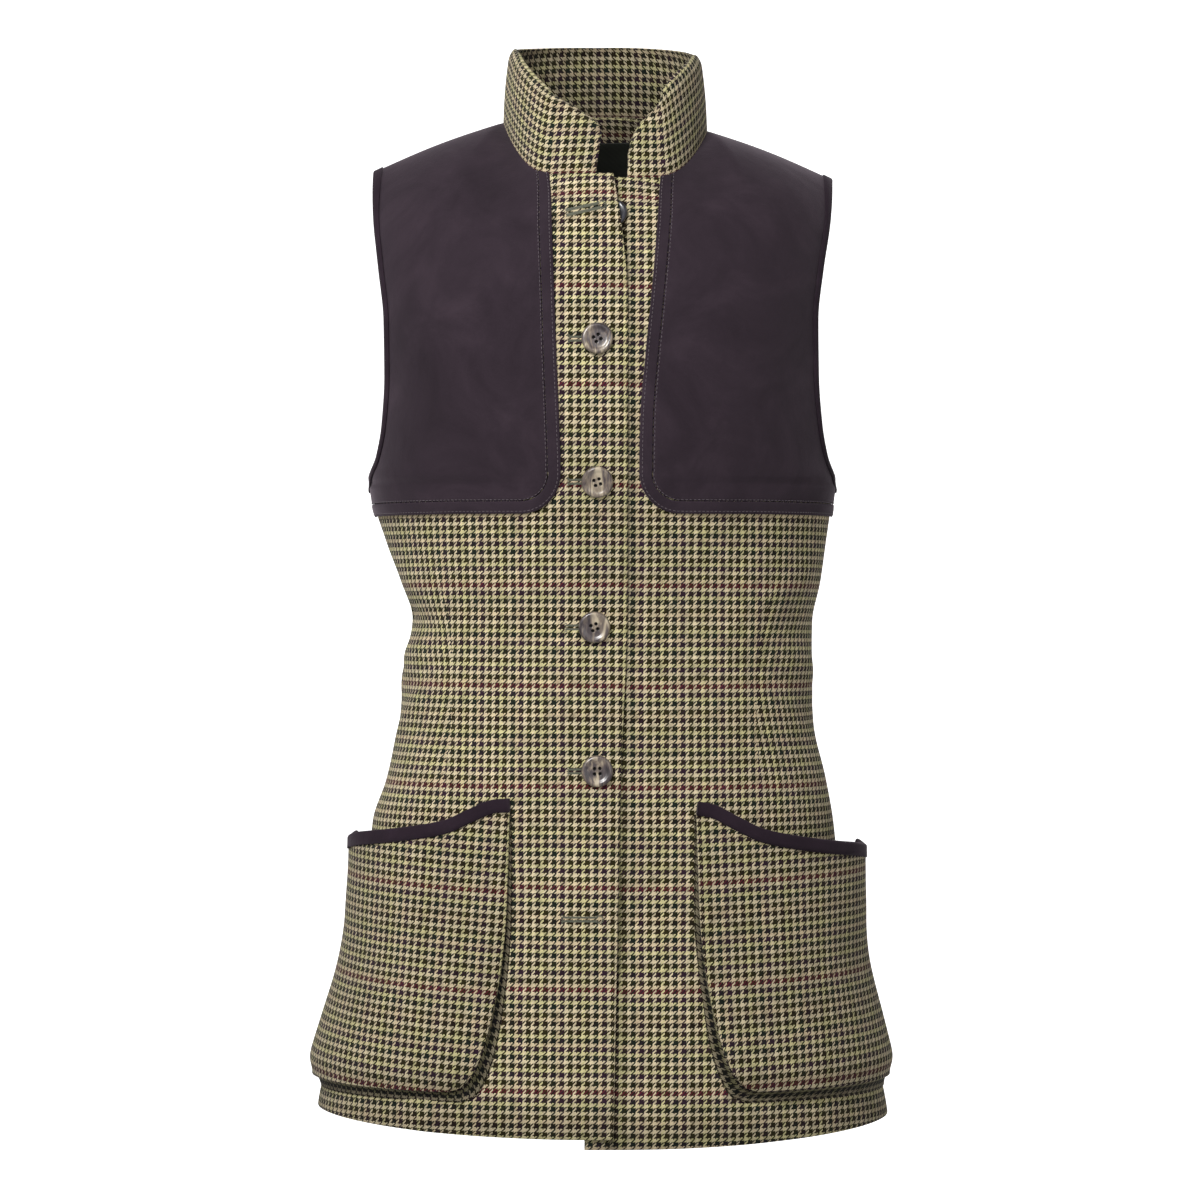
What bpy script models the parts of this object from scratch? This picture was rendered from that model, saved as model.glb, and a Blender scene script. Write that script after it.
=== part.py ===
"""Shooting vest, worn but empty, front towards -Y, wearer's right at -X.

The origin is midway between the two neck points of the shoulder seams, where the wearer's
shoulders hold the vest. Sizes in the tables are millimetres and each mesh is made in metres.
"""

from collections import namedtuple

import bmesh
import bpy
import numpy as np
from mathutils import Matrix, Vector

MM = 0.001
RIGHT, LEFT = -1, 1  # side of the wearer, also the sign of x
WORD = {RIGHT: "right", LEFT: "left"}

# Driving sizes

CLOTH = 1.8  # wall of the tweed with its lining
LINING = 1.0
SUEDE = 1.2
COLLAR_WALL = 2.6
SEAM_GAP = 0.3
COLLAR_GAP = 0.7  # the patches lie up to the collar seam
LAY_GAP = 0.5  # between a panel and what lies on it
LAP = 1.3  # how far the lapped fronts stand out and in
BUTTON_ROOM = 4.3  # extra lift of the lap over a button that lies under it
BUTTON_ROOM_LENGTH = 42.0
LAP_FULL = 35  # distance from a front's edge over which its lap is full
LAP_END = 72

STAND_COLUMNS = 4  # from the front edge to the patch's inner edge
BODY_COLUMNS = 10  # from there to the side seam, the first of them under the edge strip
NECK_COLUMN = 5  # of those, where the shoulder seam meets the neckline
BACK_COLUMNS = 9  # from the centre back to the side seam
BACK_NECK_COLUMN = 4
ROW_HEIGHTS = (
    -705, -672, -638, -600, -565, -530, -497, -467, -438, -410, -381, -352,
    -324, -300, -278, -269, -258, -251, -238, -215, -188, -160, -132, -104, -80,
)  # fmt: skip
CHEST = -80  # above this height the panels curve over to the shoulder seam
UNDERARM = -258
YOKE_STEPS = (0.22, 0.42, 0.62, 0.82, 1.0)

# The torso's form: half widths at the side seams, depths at the centre front and back

Level = namedtuple("Level", "z right left front back")
LEVELS = (
    Level(-725, 207.0, 207.0, 133, 135),
    Level(-700, 204.5, 204.0, 131, 133),
    Level(-670, 198.5, 197.5, 129, 131),
    Level(-640, 190.5, 189.5, 126, 128),
    Level(-600, 179.5, 179.0, 122, 124),
    Level(-567, 173.0, 173.5, 119, 119),
    Level(-530, 168.5, 169.0, 116, 114),
    Level(-496, 165.6, 165.6, 113, 108),
    Level(-467, 156.0, 160.5, 110, 103),
    Level(-425, 146.5, 151.5, 107, 97),
    Level(-390, 143.5, 150.0, 105, 92),
    Level(-352, 137.5, 151.0, 105, 90),
    Level(-324, 145.5, 156.5, 109, 92),
    Level(-295, 156.0, 160.5, 115, 97),
    Level(-266, 165.0, 164.5, 122, 103),
    Level(-215, 170.0, 170.0, 130, 111),
    Level(-160, 170.0, 170.0, 126, 117),
    Level(-110, 170.0, 170.0, 114, 115),
    Level(-60, 170.0, 170.0, 95, 106),
)
FULLNESS = 0.62  # handle length of each quarter section; 0.55 is an ellipse
CURVE_SAMPLES = 161

# The armhole's cut edge: how far out, how far forward and back, and the cloth's turn there

Armhole = namedtuple("Armhole", "z right left front back turn")
ARMHOLES = (
    Armhole(-725, 0, 0, 0, 0, 90),
    Armhole(-258, 165.9, 165.2, 0, 0, 90),
    Armhole(-251, 164.0, 162.5, 24, 26, 80),
    Armhole(-238, 158.0, 156.5, 42, 46, 71),
    Armhole(-215, 153.0, 151.5, 54, 58, 65),
    Armhole(-180, 150.5, 148.5, 60, 64, 61),
    Armhole(-140, 151.0, 148.0, 61, 64, 60),
    Armhole(-104, 155.0, 152.0, 54, 57, 60),
    Armhole(-80, 158.0, 156.0, 45, 48, 60),
)

# The front edges and the inner edge of the patches, out from the centre on each side

EdgePoint = namedtuple("EdgePoint", "z right_edge left_edge right_patch left_patch")
EDGES = (
    EdgePoint(-725, -6.9, -13.0, 29.0, 25.0),
    EdgePoint(-585, -9.7, -13.0, 29.0, 25.0),
    EdgePoint(-448, -13.0, -13.0, 29.0, 25.0),
    EdgePoint(-340, -17.3, -13.0, 29.0, 25.0),
    EdgePoint(-245, -17.3, -13.0, 29.0, 25.0),
    EdgePoint(-215, -17.3, -13.0, 30.0, 25.5),
    EdgePoint(-170, -17.3, -13.0, 32.0, 29.0),
    EdgePoint(-130, -17.3, -13.0, 33.5, 33.0),
    EdgePoint(-85, -13.5, -13.0, 35.0, 37.0),
    EdgePoint(-41, -7.0, -13.0, 36.5, 40.0),
)
HEM_DROP = {RIGHT: (5, -5), LEFT: (12, 1)}  # below the lowest row: centre front, side seam
BACK_HEM_DROP = 0  # at the centre back
HEM_CURVE = 2.2

# Neck and shoulder

NECK_POINT = {RIGHT: (71.3, 0.0, 4.0), LEFT: (74.5, 0.0, -2.0)}
SHOULDER_TIP = {RIGHT: (161.0, 8.0, -29.0), LEFT: (161.0, 8.0, -34.5)}
SHOULDER_BOW = 2.0  # how far the shoulder seam arches up
FRONT_NECK = (-85.0, -41.0)  # y and z of the centre front neck
FRONT_NECK_CORNER_Y = -78.0
BACK_NECK = (57.0, 16.0)
NECK_CURVE = (1.4, 1.75)  # how soon the front neckline turns back and rises
NECK_TURNS = (14, 33, 52, 71, 90)  # degrees round that rise, at its columns
STAND_ROLL = 22  # degrees that the cloth leans back at the centre front neck
BACK_ROLL = 32  # and forward at the centre back neck
SHOULDER_ROLL = 82

# The collar, from its front end to the centre back

CollarPoint = namedtuple("CollarPoint", "along height lean")
COLLAR = (
    CollarPoint(0.00, 37, 12),
    CollarPoint(0.03, 40, 12),
    CollarPoint(0.07, 45, 12),
    CollarPoint(0.12, 50, 11),
    CollarPoint(0.18, 54, 10),
    CollarPoint(0.26, 58, 8),
    CollarPoint(0.42, 60, 5),
    CollarPoint(0.60, 55, 5),
    CollarPoint(0.80, 52, 3),
    CollarPoint(1.00, 51, 1),
)
COLLAR_START = {RIGHT: 5.0, LEFT: 17.0}  # out from the centre on each side
COLLAR_CORNER = {RIGHT: 8.0, LEFT: 14.0}  # radius of the front ends' upper corners
COLLAR_ROLL = 3.0  # how far the upper edge rolls inwards
COLLAR_ROLL_WIDTH = 9.0
COLLAR_COLUMNS = 44
COLLAR_RISES = (0, 0.35, 0.7, 0.88, 1)
NECK_POINT_HINT = (-1, -0.2, 0)  # which way the collar stands at the neck points
NECK_BACK_HINT = (-1, -1, 0)  # and at the back
HINT_RISE = 25.0

# Patches, bindings

PATCH_FOOT = -278.0
PATCH_CORNER = 28.0
EDGE_STRIP = 9.0
EDGE_STRIP_WALL = 1.7
ARMHOLE_BINDING = (5.0, 2.0, 2.1)  # width beyond the edge, depth inwards and outwards

# Pockets: their two edges, the mouth, how far they stand off, and the gusset's wider outline

POCKET_UPS = (0, 0.035, 0.09, 0.18, 0.3, 0.43, 0.57, 0.71, 0.86, 1)
POCKET_OUTS = (0, 0.03, 0.1, 0.2, 0.3, 0.4, 0.5, 0.6, 0.7, 0.8, 0.87, 0.94, 1)
POCKET_FOOT = -679.0
PocketSide = namedtuple("PocketSide", "z inner past_seam")
POCKET_SIDE = (
    PocketSide(-679, 108.0, 8),
    PocketSide(-676, 98.0, 14),
    PocketSide(-670, 91.5, 18),
    PocketSide(-660, 85.5, 21),
    PocketSide(-648, 81.0, 22),
    PocketSide(-624, 75.0, 22),
    PocketSide(-590, 69.0, 22),
    PocketSide(-555, 66.0, 22),
    PocketSide(-476, 64.5, 22),
)
MouthPoint = namedtuple("MouthPoint", "along right left")
MOUTH = (
    MouthPoint(0.00, -485.0, -487.0),
    MouthPoint(0.05, -485.5, -488.5),
    MouthPoint(0.14, -492.0, -497.0),
    MouthPoint(0.25, -501.0, -507.0),
    MouthPoint(0.48, -508.5, -516.0),
    MouthPoint(0.65, -512.0, -520.0),
    MouthPoint(0.89, -517.0, -524.0),
    MouthPoint(1.00, -515.0, -522.0),
)
Bellows = namedtuple("Bellows", "up inner right left")
BELLOWS = (
    Bellows(0.0, 12.0, 13.5, 11.5),
    Bellows(0.5, 8.0, 10.5, 12.0),
    Bellows(1.0, 3.4, 15.0, 20.0),
)
BELLOWS_TURN = 0.75  # share of the width over which the inner depth turns to the outer
POCKET_BULGE = 3.0
BULGE_START, BULGE_SPAN = 0.15, 0.7  # where the bulge's half wave starts, and its length
FOOT_ROLL = (5.0, 8.0)  # how far the lower edge rolls in, and over what width
SIDE_ROLL = (2.0, 5.0)
POCKET_BINDING = (9.0, 2.3, 0.7)  # width above the edge, depth inwards and outwards
GUSSET_WALL = 1.5
GUSSET_FOOT = 0.7
Spread = namedtuple("Spread", "up inner outer foot")
GUSSET_SPREAD = (
    Spread(0.0, 9.0, 3.0, 7),
    Spread(0.1, 7.5, 2.5, 2),
    Spread(0.5, 4.0, 1.0, 0),
    Spread(1.0, 1.5, 0.0, 0),
)

# Buttons, at their heights, and the one at each end that lies under the lap

ButtonPlace = namedtuple("ButtonPlace", "x z under")
BUTTONS = (
    ButtonPlace(6.0, -69, True),
    ButtonPlace(-4.0, -158, False),
    ButtonPlace(-4.0, -256, False),
    ButtonPlace(-6.0, -357, False),
    ButtonPlace(-4.0, -457, False),
    ButtonPlace(-4.0, -559, True),
)
BUTTON_PROFILE = ((0.0, 0.0), (9.0, 0.0), (11.0, 1.4), (9.8, 3.0), (7.6, 2.4), (0.0, 2.0))
BUTTON_SEGMENTS = 20
HOLE_RADIUS = 1.1
HOLE_SIDES = 6
DRILL_LENGTH = 12.0
HOLE_OFFSET = 2.5
BUTTON_SEAT = 0.8  # clear of the cloth, which hollows at the waist

# Colours: base colour, roughness

FINISHES = {
    "tweed": ((0.20, 0.18, 0.09), 0.95),
    "lining": ((0.02, 0.028, 0.02), 0.55),
    "suede": ((0.045, 0.026, 0.038), 0.9),
    "horn": ((0.14, 0.11, 0.08), 0.3),
}
CREASE_ANGLE = np.radians(40)  # edges sharper than this are shaded as edges


def smooth(x, table, column):
    """Monotone cubic through a table's column, read at x of the table's first column."""
    xs = np.array([row[0] for row in table], float)
    ys = np.array([getattr(row, column) for row in table], float)
    widths = np.diff(xs)
    rises = np.diff(ys) / widths
    slopes = np.concatenate([rises[:1], np.zeros(len(xs) - 2), rises[-1:]])
    agree = np.flatnonzero(rises[:-1] * rises[1:] > 0)
    slopes[agree + 1] = 2 / (1 / rises[agree] + 1 / rises[agree + 1])
    x = np.clip(np.asarray(x, float), xs[0], xs[-1])
    k = np.clip(np.searchsorted(xs, x) - 1, 0, len(widths) - 1)
    t = (x - xs[k]) / widths[k]
    return hermite(t, ys[k], ys[k + 1], slopes[k] * widths[k], slopes[k + 1] * widths[k])


def hermite(t, start, end, start_pull, end_pull):
    """Cubic from start to end with the given pulls at its two ends."""
    return (
        (2 * t**3 - 3 * t**2 + 1) * start
        + (t**3 - 2 * t**2 + t) * start_pull
        + (3 * t**2 - 2 * t**3) * end
        + (t**3 - t**2) * end_pull
    )


def fade(x, full, end):
    """1 up to full, 0 from end on, with a soft step between."""
    t = np.clip((end - x) / (end - full), 0, 1)
    return t * t * (3 - 2 * t)


def unit(vectors):
    """Vectors at length 1."""
    return vectors / np.linalg.norm(vectors, axis=-1, keepdims=True)


def quarter(side, z, back=False):
    """Dense points of one quarter section at height z, from its centre to its outer edge.

    A cubic curve that leaves the centre straight across, and reaches the side seam straight
    back or the armhole at the armhole's turn. x is out from the centre.
    """
    if z <= UNDERARM:
        out_x, out_y, turn = float(smooth(z, LEVELS, WORD[side])), 0.0, 90.0
    else:
        out_x = float(smooth(z, ARMHOLES, WORD[side]))
        out_y = float(smooth(z, ARMHOLES, "back" if back else "front"))
        turn = float(smooth(z, ARMHOLES, "turn"))
    depth = float(smooth(z, LEVELS, "back" if back else "front"))
    reach = FULLNESS * (depth - out_y)
    corners = np.array(
        [
            (0.0, depth),
            (FULLNESS * out_x, depth),
            (out_x - reach / np.tan(np.radians(turn)), out_y + reach),
            (out_x, out_y),
        ]
    )
    t = np.linspace(0, 1, CURVE_SAMPLES)[:, None]
    bend = [(1 - t) ** 3, 3 * t * (1 - t) ** 2, 3 * t**2 * (1 - t), t**3]
    flat = sum(weight * corner for weight, corner in zip(bend, corners))
    facing = 1 if back else -1
    return np.column_stack([flat[:, 0], facing * flat[:, 1], np.full(len(flat), z)])


def lengths(points):
    """Distance along a row of points, from its start."""
    steps = np.linalg.norm(np.diff(points, axis=0), axis=1)
    return np.concatenate([[0], np.cumsum(steps)])


def along(points, places):
    """Points of a line at the given distances from its start."""
    run = lengths(points)
    return np.column_stack([np.interp(places, run, points[:, k]) for k in range(3)])


def front_row(side, z):
    """A front's row at height z: even steps across the stand, then even steps to the edge."""
    line = quarter(side, z)
    edge = float(smooth(z, EDGES, WORD[side] + "_edge"))
    patch = float(smooth(z, EDGES, WORD[side] + "_patch"))
    run = lengths(line)
    stand = np.linspace(edge, patch, STAND_COLUMNS + 1)
    places = np.interp(np.abs(stand), line[:, 0], run)
    inner = along(line, places)
    inner[:, 0] = stand
    outer = along(line, np.linspace(places[-1] + EDGE_STRIP, run[-1], BODY_COLUMNS))
    return np.vstack([inner, outer])


def back_row(side, z):
    """Half of the back's row at height z, from the centre back to the edge, in even steps."""
    line = quarter(side, z, back=True)
    return along(line, np.linspace(0, lengths(line)[-1], BACK_COLUMNS + 1))


def shoulder_seam(side, steps):
    """Points from the neck point to the shoulder tip."""
    t = np.linspace(0, 1, steps + 1)[:, None]
    points = (1 - t) * np.array(NECK_POINT[side]) + t * np.array(SHOULDER_TIP[side])
    points[:, 2:] += SHOULDER_BOW * np.sin(np.pi * t)
    return points


def front_top(side):
    """A front's top edge: level neckline, its rise to the neck point, and the shoulder seam."""
    edge = getattr(EDGES[-1], WORD[side] + "_edge")
    patch = getattr(EDGES[-1], WORD[side] + "_patch")
    neck_y, neck_z = FRONT_NECK
    neck_out, _, neck_height = NECK_POINT[side]
    x = np.linspace(edge, patch, STAND_COLUMNS + 1)
    y = neck_y + (FRONT_NECK_CORNER_Y - neck_y) * (x / patch) ** 2
    level = np.column_stack([x, y, np.full(len(x), neck_z)])
    turn = np.radians(NECK_TURNS)
    back_power, rise_power = NECK_CURVE
    rise = np.column_stack(
        [
            patch + (neck_out - patch) * np.sin(turn),
            FRONT_NECK_CORNER_Y * np.cos(turn) ** back_power,
            neck_height + (neck_z - neck_height) * np.cos(turn) ** rise_power,
        ]
    )
    return np.vstack([level, rise, shoulder_seam(side, BODY_COLUMNS - NECK_COLUMN)[1:]])


def back_top(side):
    """Half of the back's top edge: neckline from the centre back, then the shoulder seam."""
    neck_y, neck_z = BACK_NECK
    neck_out, _, neck_height = NECK_POINT[side]
    turn = np.linspace(np.pi / 2, 0, BACK_NECK_COLUMN + 1)
    neck = np.column_stack(
        [
            neck_out * np.cos(turn),
            neck_y * np.sin(turn),
            neck_height + (neck_z - neck_height) * np.sin(turn),
        ]
    )
    return np.vstack([neck, shoulder_seam(side, BACK_COLUMNS - BACK_NECK_COLUMN)[1:]])


def over_shoulder(rows, top, roll):
    """Rows from the chest up to the top edge: a cubic that arrives leaning back by its roll."""
    chest, start_way = rows[-1], unit(rows[-1] - rows[-2])
    chord = top - chest
    reach = np.linalg.norm(chord, axis=1, keepdims=True)
    lean = np.radians(roll)[:, None]
    facing = np.sign(-chest[:, 1:2])
    end_way = unit(np.hstack([chord[:, :1] / reach, facing * np.sin(lean), np.cos(lean)]))
    yoke = [hermite(t, chest, top, reach * start_way, reach * end_way) for t in YOKE_STEPS]
    return rows + yoke


class Panel:
    """A grid of outer points, row by row from the hem, with its normals and its wall."""

    def __init__(self, points, wall):
        self.points = points
        self.wall = wall
        along_row = np.gradient(points, axis=1)
        up_column = np.gradient(points, axis=0)
        self.normals = unit(np.cross(along_row, up_column))
        middle = len(points) // 3, points.shape[1] // 2
        if np.dot(self.normals[middle], points[middle] * (1, 1, 0)) < 0:
            self.normals = -self.normals

    def lift(self, amount):
        """Move the outer points along their normals."""
        self.points = self.points + np.asarray(amount)[..., None] * self.normals

    def at(self, row, column):
        """Point and normal at places between the grid's lines, read on its flat cells."""
        row, column = np.broadcast_arrays(np.asarray(row, float), np.asarray(column, float))
        r = np.clip(row.astype(int), 0, len(self.points) - 2)
        c = np.clip(column.astype(int), 0, self.points.shape[1] - 2)
        s, t = (row - r)[..., None], (column - c)[..., None]
        found = []
        for grid in (self.points, self.normals):
            start, across = grid[r, c], grid[r, c + 1]
            up, corner = grid[r + 1, c], grid[r + 1, c + 1]
            below = start + t * (across - start) + s * (corner - across)
            above = start + s * (up - start) + t * (corner - up)
            found.append(np.where(t >= s, below, above))
        return found[0], unit(found[1])

    def column_at(self, row, distance):
        """Column of the place at a distance along a row, from its patch line."""
        found = []
        for line in (self.points[int(np.floor(row))], self.points[int(np.ceil(row))]):
            run = lengths(line)
            found.append(np.interp(distance + run[STAND_COLUMNS], run, np.arange(len(line))))
        return found[0] + (row - np.floor(row)) * (found[1] - found[0])


def drop_hem(row, centre, side):
    """Lower a hem's row by an amount at the centre and another at the side seam."""
    out = np.clip(row[:, 0] / row[-1, 0], 0, 1)
    row[:, 2] -= centre + (side - centre) * out**HEM_CURVE


def front_panel(side):
    """One front, its stand lapped over or under the other."""
    rows = [front_row(side, z) for z in ROW_HEIGHTS]
    centre_drop, side_drop = HEM_DROP[side]
    drop_hem(rows[0], centre_drop, side_drop)
    roll = np.full(STAND_COLUMNS + BODY_COLUMNS + 1, float(SHOULDER_ROLL))
    roll[: STAND_COLUMNS + 1] = STAND_ROLL
    neck = STAND_COLUMNS + NECK_COLUMN
    roll[STAND_COLUMNS : neck + 1] = np.linspace(STAND_ROLL, SHOULDER_ROLL, NECK_COLUMN + 1)
    points = np.array(over_shoulder(rows, front_top(side), roll))
    edge = points[:, :1, 0]
    near = fade(points[:, :, 0] - edge, LAP_FULL, LAP_END)
    points[:, :, 0] *= side
    panel = Panel(points, CLOTH)
    level_seams(panel, -1, slice(neck, None), -SEAM_GAP / 2)
    lap = LAP * np.ones(points.shape[:2])
    if side == RIGHT:
        for button in BUTTONS:
            if button.under:
                lap += BUTTON_ROOM * np.exp(-(((points[:, :, 2] - button.z) / BUTTON_ROOM_LENGTH) ** 4))
    panel.lift(-side * near * lap)
    return panel


def level_seams(panel, edge, shoulder, shift):
    """Part the side and shoulder seams, and turn both of their sides the same way."""
    seam_rows = ROW_HEIGHTS.index(UNDERARM) + 1
    panel.points[:seam_rows, edge, 1] += shift
    panel.normals[:seam_rows, edge, 1] = 0
    panel.points[-1, shoulder, 1] += shift
    panel.normals[-1, shoulder, 1] = 0
    panel.normals = unit(panel.normals)


def back_panel():
    """The whole back, made of two halves that meet at the centre."""
    halves = []
    for side in (RIGHT, LEFT):
        rows = [back_row(side, z) for z in ROW_HEIGHTS]
        drop_hem(rows[0], BACK_HEM_DROP, HEM_DROP[side][1])
        roll = np.full(BACK_COLUMNS + 1, float(SHOULDER_ROLL))
        roll[: BACK_NECK_COLUMN + 1] = np.linspace(BACK_ROLL, SHOULDER_ROLL, BACK_NECK_COLUMN + 1)
        half = np.array(over_shoulder(rows, back_top(side), roll))
        half[:, :, 0] *= side
        halves.append(half)
    points = np.concatenate([halves[0][:, :0:-1], halves[1]], axis=1)
    panel = Panel(points, CLOTH)
    level_seams(panel, 0, slice(0, BACK_COLUMNS - BACK_NECK_COLUMN + 1), SEAM_GAP / 2)
    level_seams(panel, -1, slice(BACK_COLUMNS + BACK_NECK_COLUMN, None), SEAM_GAP / 2)
    return panel


def closed_grid(outer, inner, wrap=False):
    """Vertices and triangles of a wall between two grids of the same shape."""
    rows, columns = outer.shape[:2]
    index = np.arange(rows * columns).reshape(rows, columns)
    low, right = index, np.roll(index, -1, axis=1)
    last = columns if wrap else columns - 1
    a, b = low[:-1, :last].ravel(), right[:-1, :last].ravel()
    c, d = right[1:, :last].ravel(), low[1:, :last].ravel()
    front = np.vstack([np.column_stack([a, b, c]), np.column_stack([a, c, d])])
    behind = front[:, ::-1] + rows * columns
    loops = [index[0], index[-1][::-1]]
    if not wrap:
        loops = [np.concatenate([index[0, :-1], index[:-1, -1], index[-1, :0:-1], index[:0:-1, 0]])]
    rims = []
    for loop in loops:
        after = np.roll(loop, -1)
        rims.append(np.column_stack([after, loop, loop + rows * columns]))
        rims.append(np.column_stack([after, loop + rows * columns, after + rows * columns]))
    return np.vstack([outer.reshape(-1, 3), inner.reshape(-1, 3)]), np.vstack([front, behind, *rims])


def material(finish):
    """A plain material for a finish, made once."""
    found = bpy.data.materials.get(finish)
    if found:
        return found
    made = bpy.data.materials.new(finish)
    made.use_nodes = True
    shader = made.node_tree.nodes["Principled BSDF"]
    colour, roughness = FINISHES[finish]
    shader.inputs["Base Color"].default_value = (*colour, 1)
    shader.inputs["Roughness"].default_value = roughness
    shader.inputs["Metallic"].default_value = 0
    return made


def add_piece(name, vertices, faces, finish):
    """An object from millimetre vertices, its faces turned outwards."""
    corners = vertices[faces]
    volume = np.einsum("ij,ij->i", corners[:, 0], np.cross(corners[:, 1], corners[:, 2])).sum()
    if volume < 0:
        faces = faces[:, ::-1]
    mesh = bpy.data.meshes.new(name)
    mesh.from_pydata((vertices * MM).tolist(), [], faces.tolist())
    mesh.materials.append(material(finish).copy())
    mesh.materials[0].name = name + "_" + finish
    mesh.shade_smooth()
    mesh.set_sharp_from_angle(angle=CREASE_ANGLE)
    piece = bpy.data.objects.new(name, mesh)
    bpy.context.collection.objects.link(piece)
    return piece


def add_wall(name, panel, finish):
    """A panel's wall, from its outer points inwards."""
    inner = panel.points - panel.wall * panel.normals
    return add_piece(name, *closed_grid(panel.points, inner), finish)


def add_band(name, points, normals, across, width, inwards, outwards, ring=False):
    """A suede strip past a line of points: width goes across, depth along the normals."""
    depth_in, depth_out = -np.asarray(inwards)[..., None], np.asarray(outwards)[..., None]
    near, far = points + SEAM_GAP * across, points + (SEAM_GAP + width) * across
    outer = np.array([near + depth_out * normals, far + depth_out * normals])
    inner = np.array([near + depth_in * normals, far + depth_in * normals])
    return add_piece(name, *closed_grid(outer, inner, wrap=ring), "suede")


def edge_ways(points, normals, hint, ring=False):
    """Directions in the cloth, square to an edge, on the side that the hints point to."""
    if ring:
        forward = np.roll(points, -1, axis=0) - np.roll(points, 1, axis=0)
    else:
        forward = np.gradient(points, axis=0)
    ways = unit(np.cross(forward, normals))
    return ways * np.sign(np.sum(ways * hint, axis=1, keepdims=True))


def make_lining(back):
    """The back's lining, inside its wall, one cell short of its edges."""
    points = (back.points - (back.wall + LAY_GAP) * back.normals)[1:-1, 1:-1]
    normals = back.normals[1:-1, 1:-1]
    add_piece("back_lining", *closed_grid(points, points - LINING * normals), "lining")


def make_collar(fronts, back):
    """The stand collar, on the top edges of the fronts and the back."""
    neck = STAND_COLUMNS + NECK_COLUMN
    starts = []
    for side in (RIGHT, LEFT):
        panel = fronts[side]
        top = panel.points[-1]
        first = np.interp(COLLAR_START[side], top[:, 0] * side, np.arange(len(top)))
        columns = np.concatenate([[first], np.arange(int(first) + 1, neck + 1)])
        points, normals = panel.at(len(panel.points) - 1, columns)
        below, _ = panel.at(len(panel.points) - 2, columns)
        hint = points - below
        hint[-3:] = points[-3:] * NECK_POINT_HINT + (0, 0, HINT_RISE)
        way = edge_ways(points, normals, hint)
        starts.append((points, way))
    middle = slice(BACK_COLUMNS - BACK_NECK_COLUMN, BACK_COLUMNS + BACK_NECK_COLUMN + 1)
    points, normals = back.points[-1, middle], back.normals[-1, middle]
    way = edge_ways(points, normals, points * NECK_BACK_HINT + (0, 0, HINT_RISE))
    edge = np.vstack([starts[0][0], points[1:-1], starts[1][0][::-1]])
    ways = np.vstack([starts[0][1], way[1:-1], starts[1][1][::-1]])
    run = lengths(edge)
    places = np.linspace(0, run[-1], COLLAR_COLUMNS + 1)
    base = along(edge, places)
    way = unit(np.column_stack([np.interp(places, run, ways[:, k]) for k in range(3)]))
    half = run[-1] / 2
    part = 1 - np.abs(places - half) / half
    height = smooth(part, COLLAR, "height")
    lean = np.radians(smooth(part, COLLAR, "lean"))[:, None]
    radius = np.where(places < half, COLLAR_CORNER[RIGHT], COLLAR_CORNER[LEFT])
    corner = np.clip(radius - np.minimum(places, run[-1] - places), 0, None)
    height = height - radius + np.sqrt(radius**2 - corner**2)
    forward = unit(np.gradient(base, axis=0) * (1, 1, 0))
    inwards = unit(np.cross(forward, (0, 0, 1)))
    inwards *= np.sign(np.sum(inwards * (base * NECK_BACK_HINT), axis=1, keepdims=True))
    up = np.cos(lean) * np.array([0, 0, 1]) + np.sin(lean) * inwards
    outwards = unit(np.cross(np.gradient(base, axis=0), up))
    outwards *= np.sign(np.sum(outwards * -inwards, axis=1, keepdims=True))
    rise = np.array(COLLAR_RISES)[:, None] * height
    roll = COLLAR_ROLL * np.clip(1 - (height - rise) / COLLAR_ROLL_WIDTH, 0, 1) ** 2
    outer = base + COLLAR_GAP * way + rise[..., None] * up - roll[..., None] * outwards
    add_piece("collar", *closed_grid(outer, outer - COLLAR_WALL * outwards), "tweed")


def make_patch(word, panel):
    """The suede patch on a front, inside its edge strip, with the strip's corner rounded off."""
    first = STAND_COLUMNS + 1
    foot = ROW_HEIGHTS.index(PATCH_FOOT + EDGE_STRIP)
    radius = PATCH_CORNER - EDGE_STRIP
    outer, normals = [], []
    for row in range(foot, len(panel.points)):
        columns = np.arange(first, panel.points.shape[1]).astype(float)
        low = 0.0
        if row < len(ROW_HEIGHTS):
            low = np.clip(radius - (ROW_HEIGHTS[row] - ROW_HEIGHTS[foot]), 0, radius)
        if low > 0:
            start = EDGE_STRIP + radius - np.sqrt(radius**2 - low**2)
            columns[:4] = np.linspace(panel.column_at(row, start), columns[3], 4)
        point, normal = panel.at(row, columns)
        outer.append(point)
        normals.append(normal)
    outer, normals = np.array(outer), np.array(normals)
    low = outer + LAY_GAP * normals
    add_piece("patch_" + word, *closed_grid(low + SUEDE * normals, low), "suede")


def patch_outline(panel, inset):
    """Places on a front along the patch's edge, moved in by an inset: down, round, and out."""
    line_row = np.arange(len(ROW_HEIGHTS))
    top = len(panel.points) - 1
    low = ROW_HEIGHTS.index(-238)
    places = [(row, STAND_COLUMNS + inset / EDGE_STRIP) for row in range(top, low - 1, -1)]
    for turn in np.radians((0, 15, 30, 45, 60, 75, 90)):
        height = PATCH_CORNER - (PATCH_CORNER - inset) * np.sin(turn)
        out = PATCH_CORNER - (PATCH_CORNER - inset) * np.cos(turn)
        row = np.interp(PATCH_FOOT + height, ROW_HEIGHTS, line_row)
        places.append((row, float(panel.column_at(row, out))))
    foot = np.interp(PATCH_FOOT + inset, ROW_HEIGHTS, line_row)
    places += [(foot, float(column)) for column in range(STAND_COLUMNS + 3, panel.points.shape[1])]
    rows, columns = np.array(places).T
    return panel.at(rows, columns)


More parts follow.
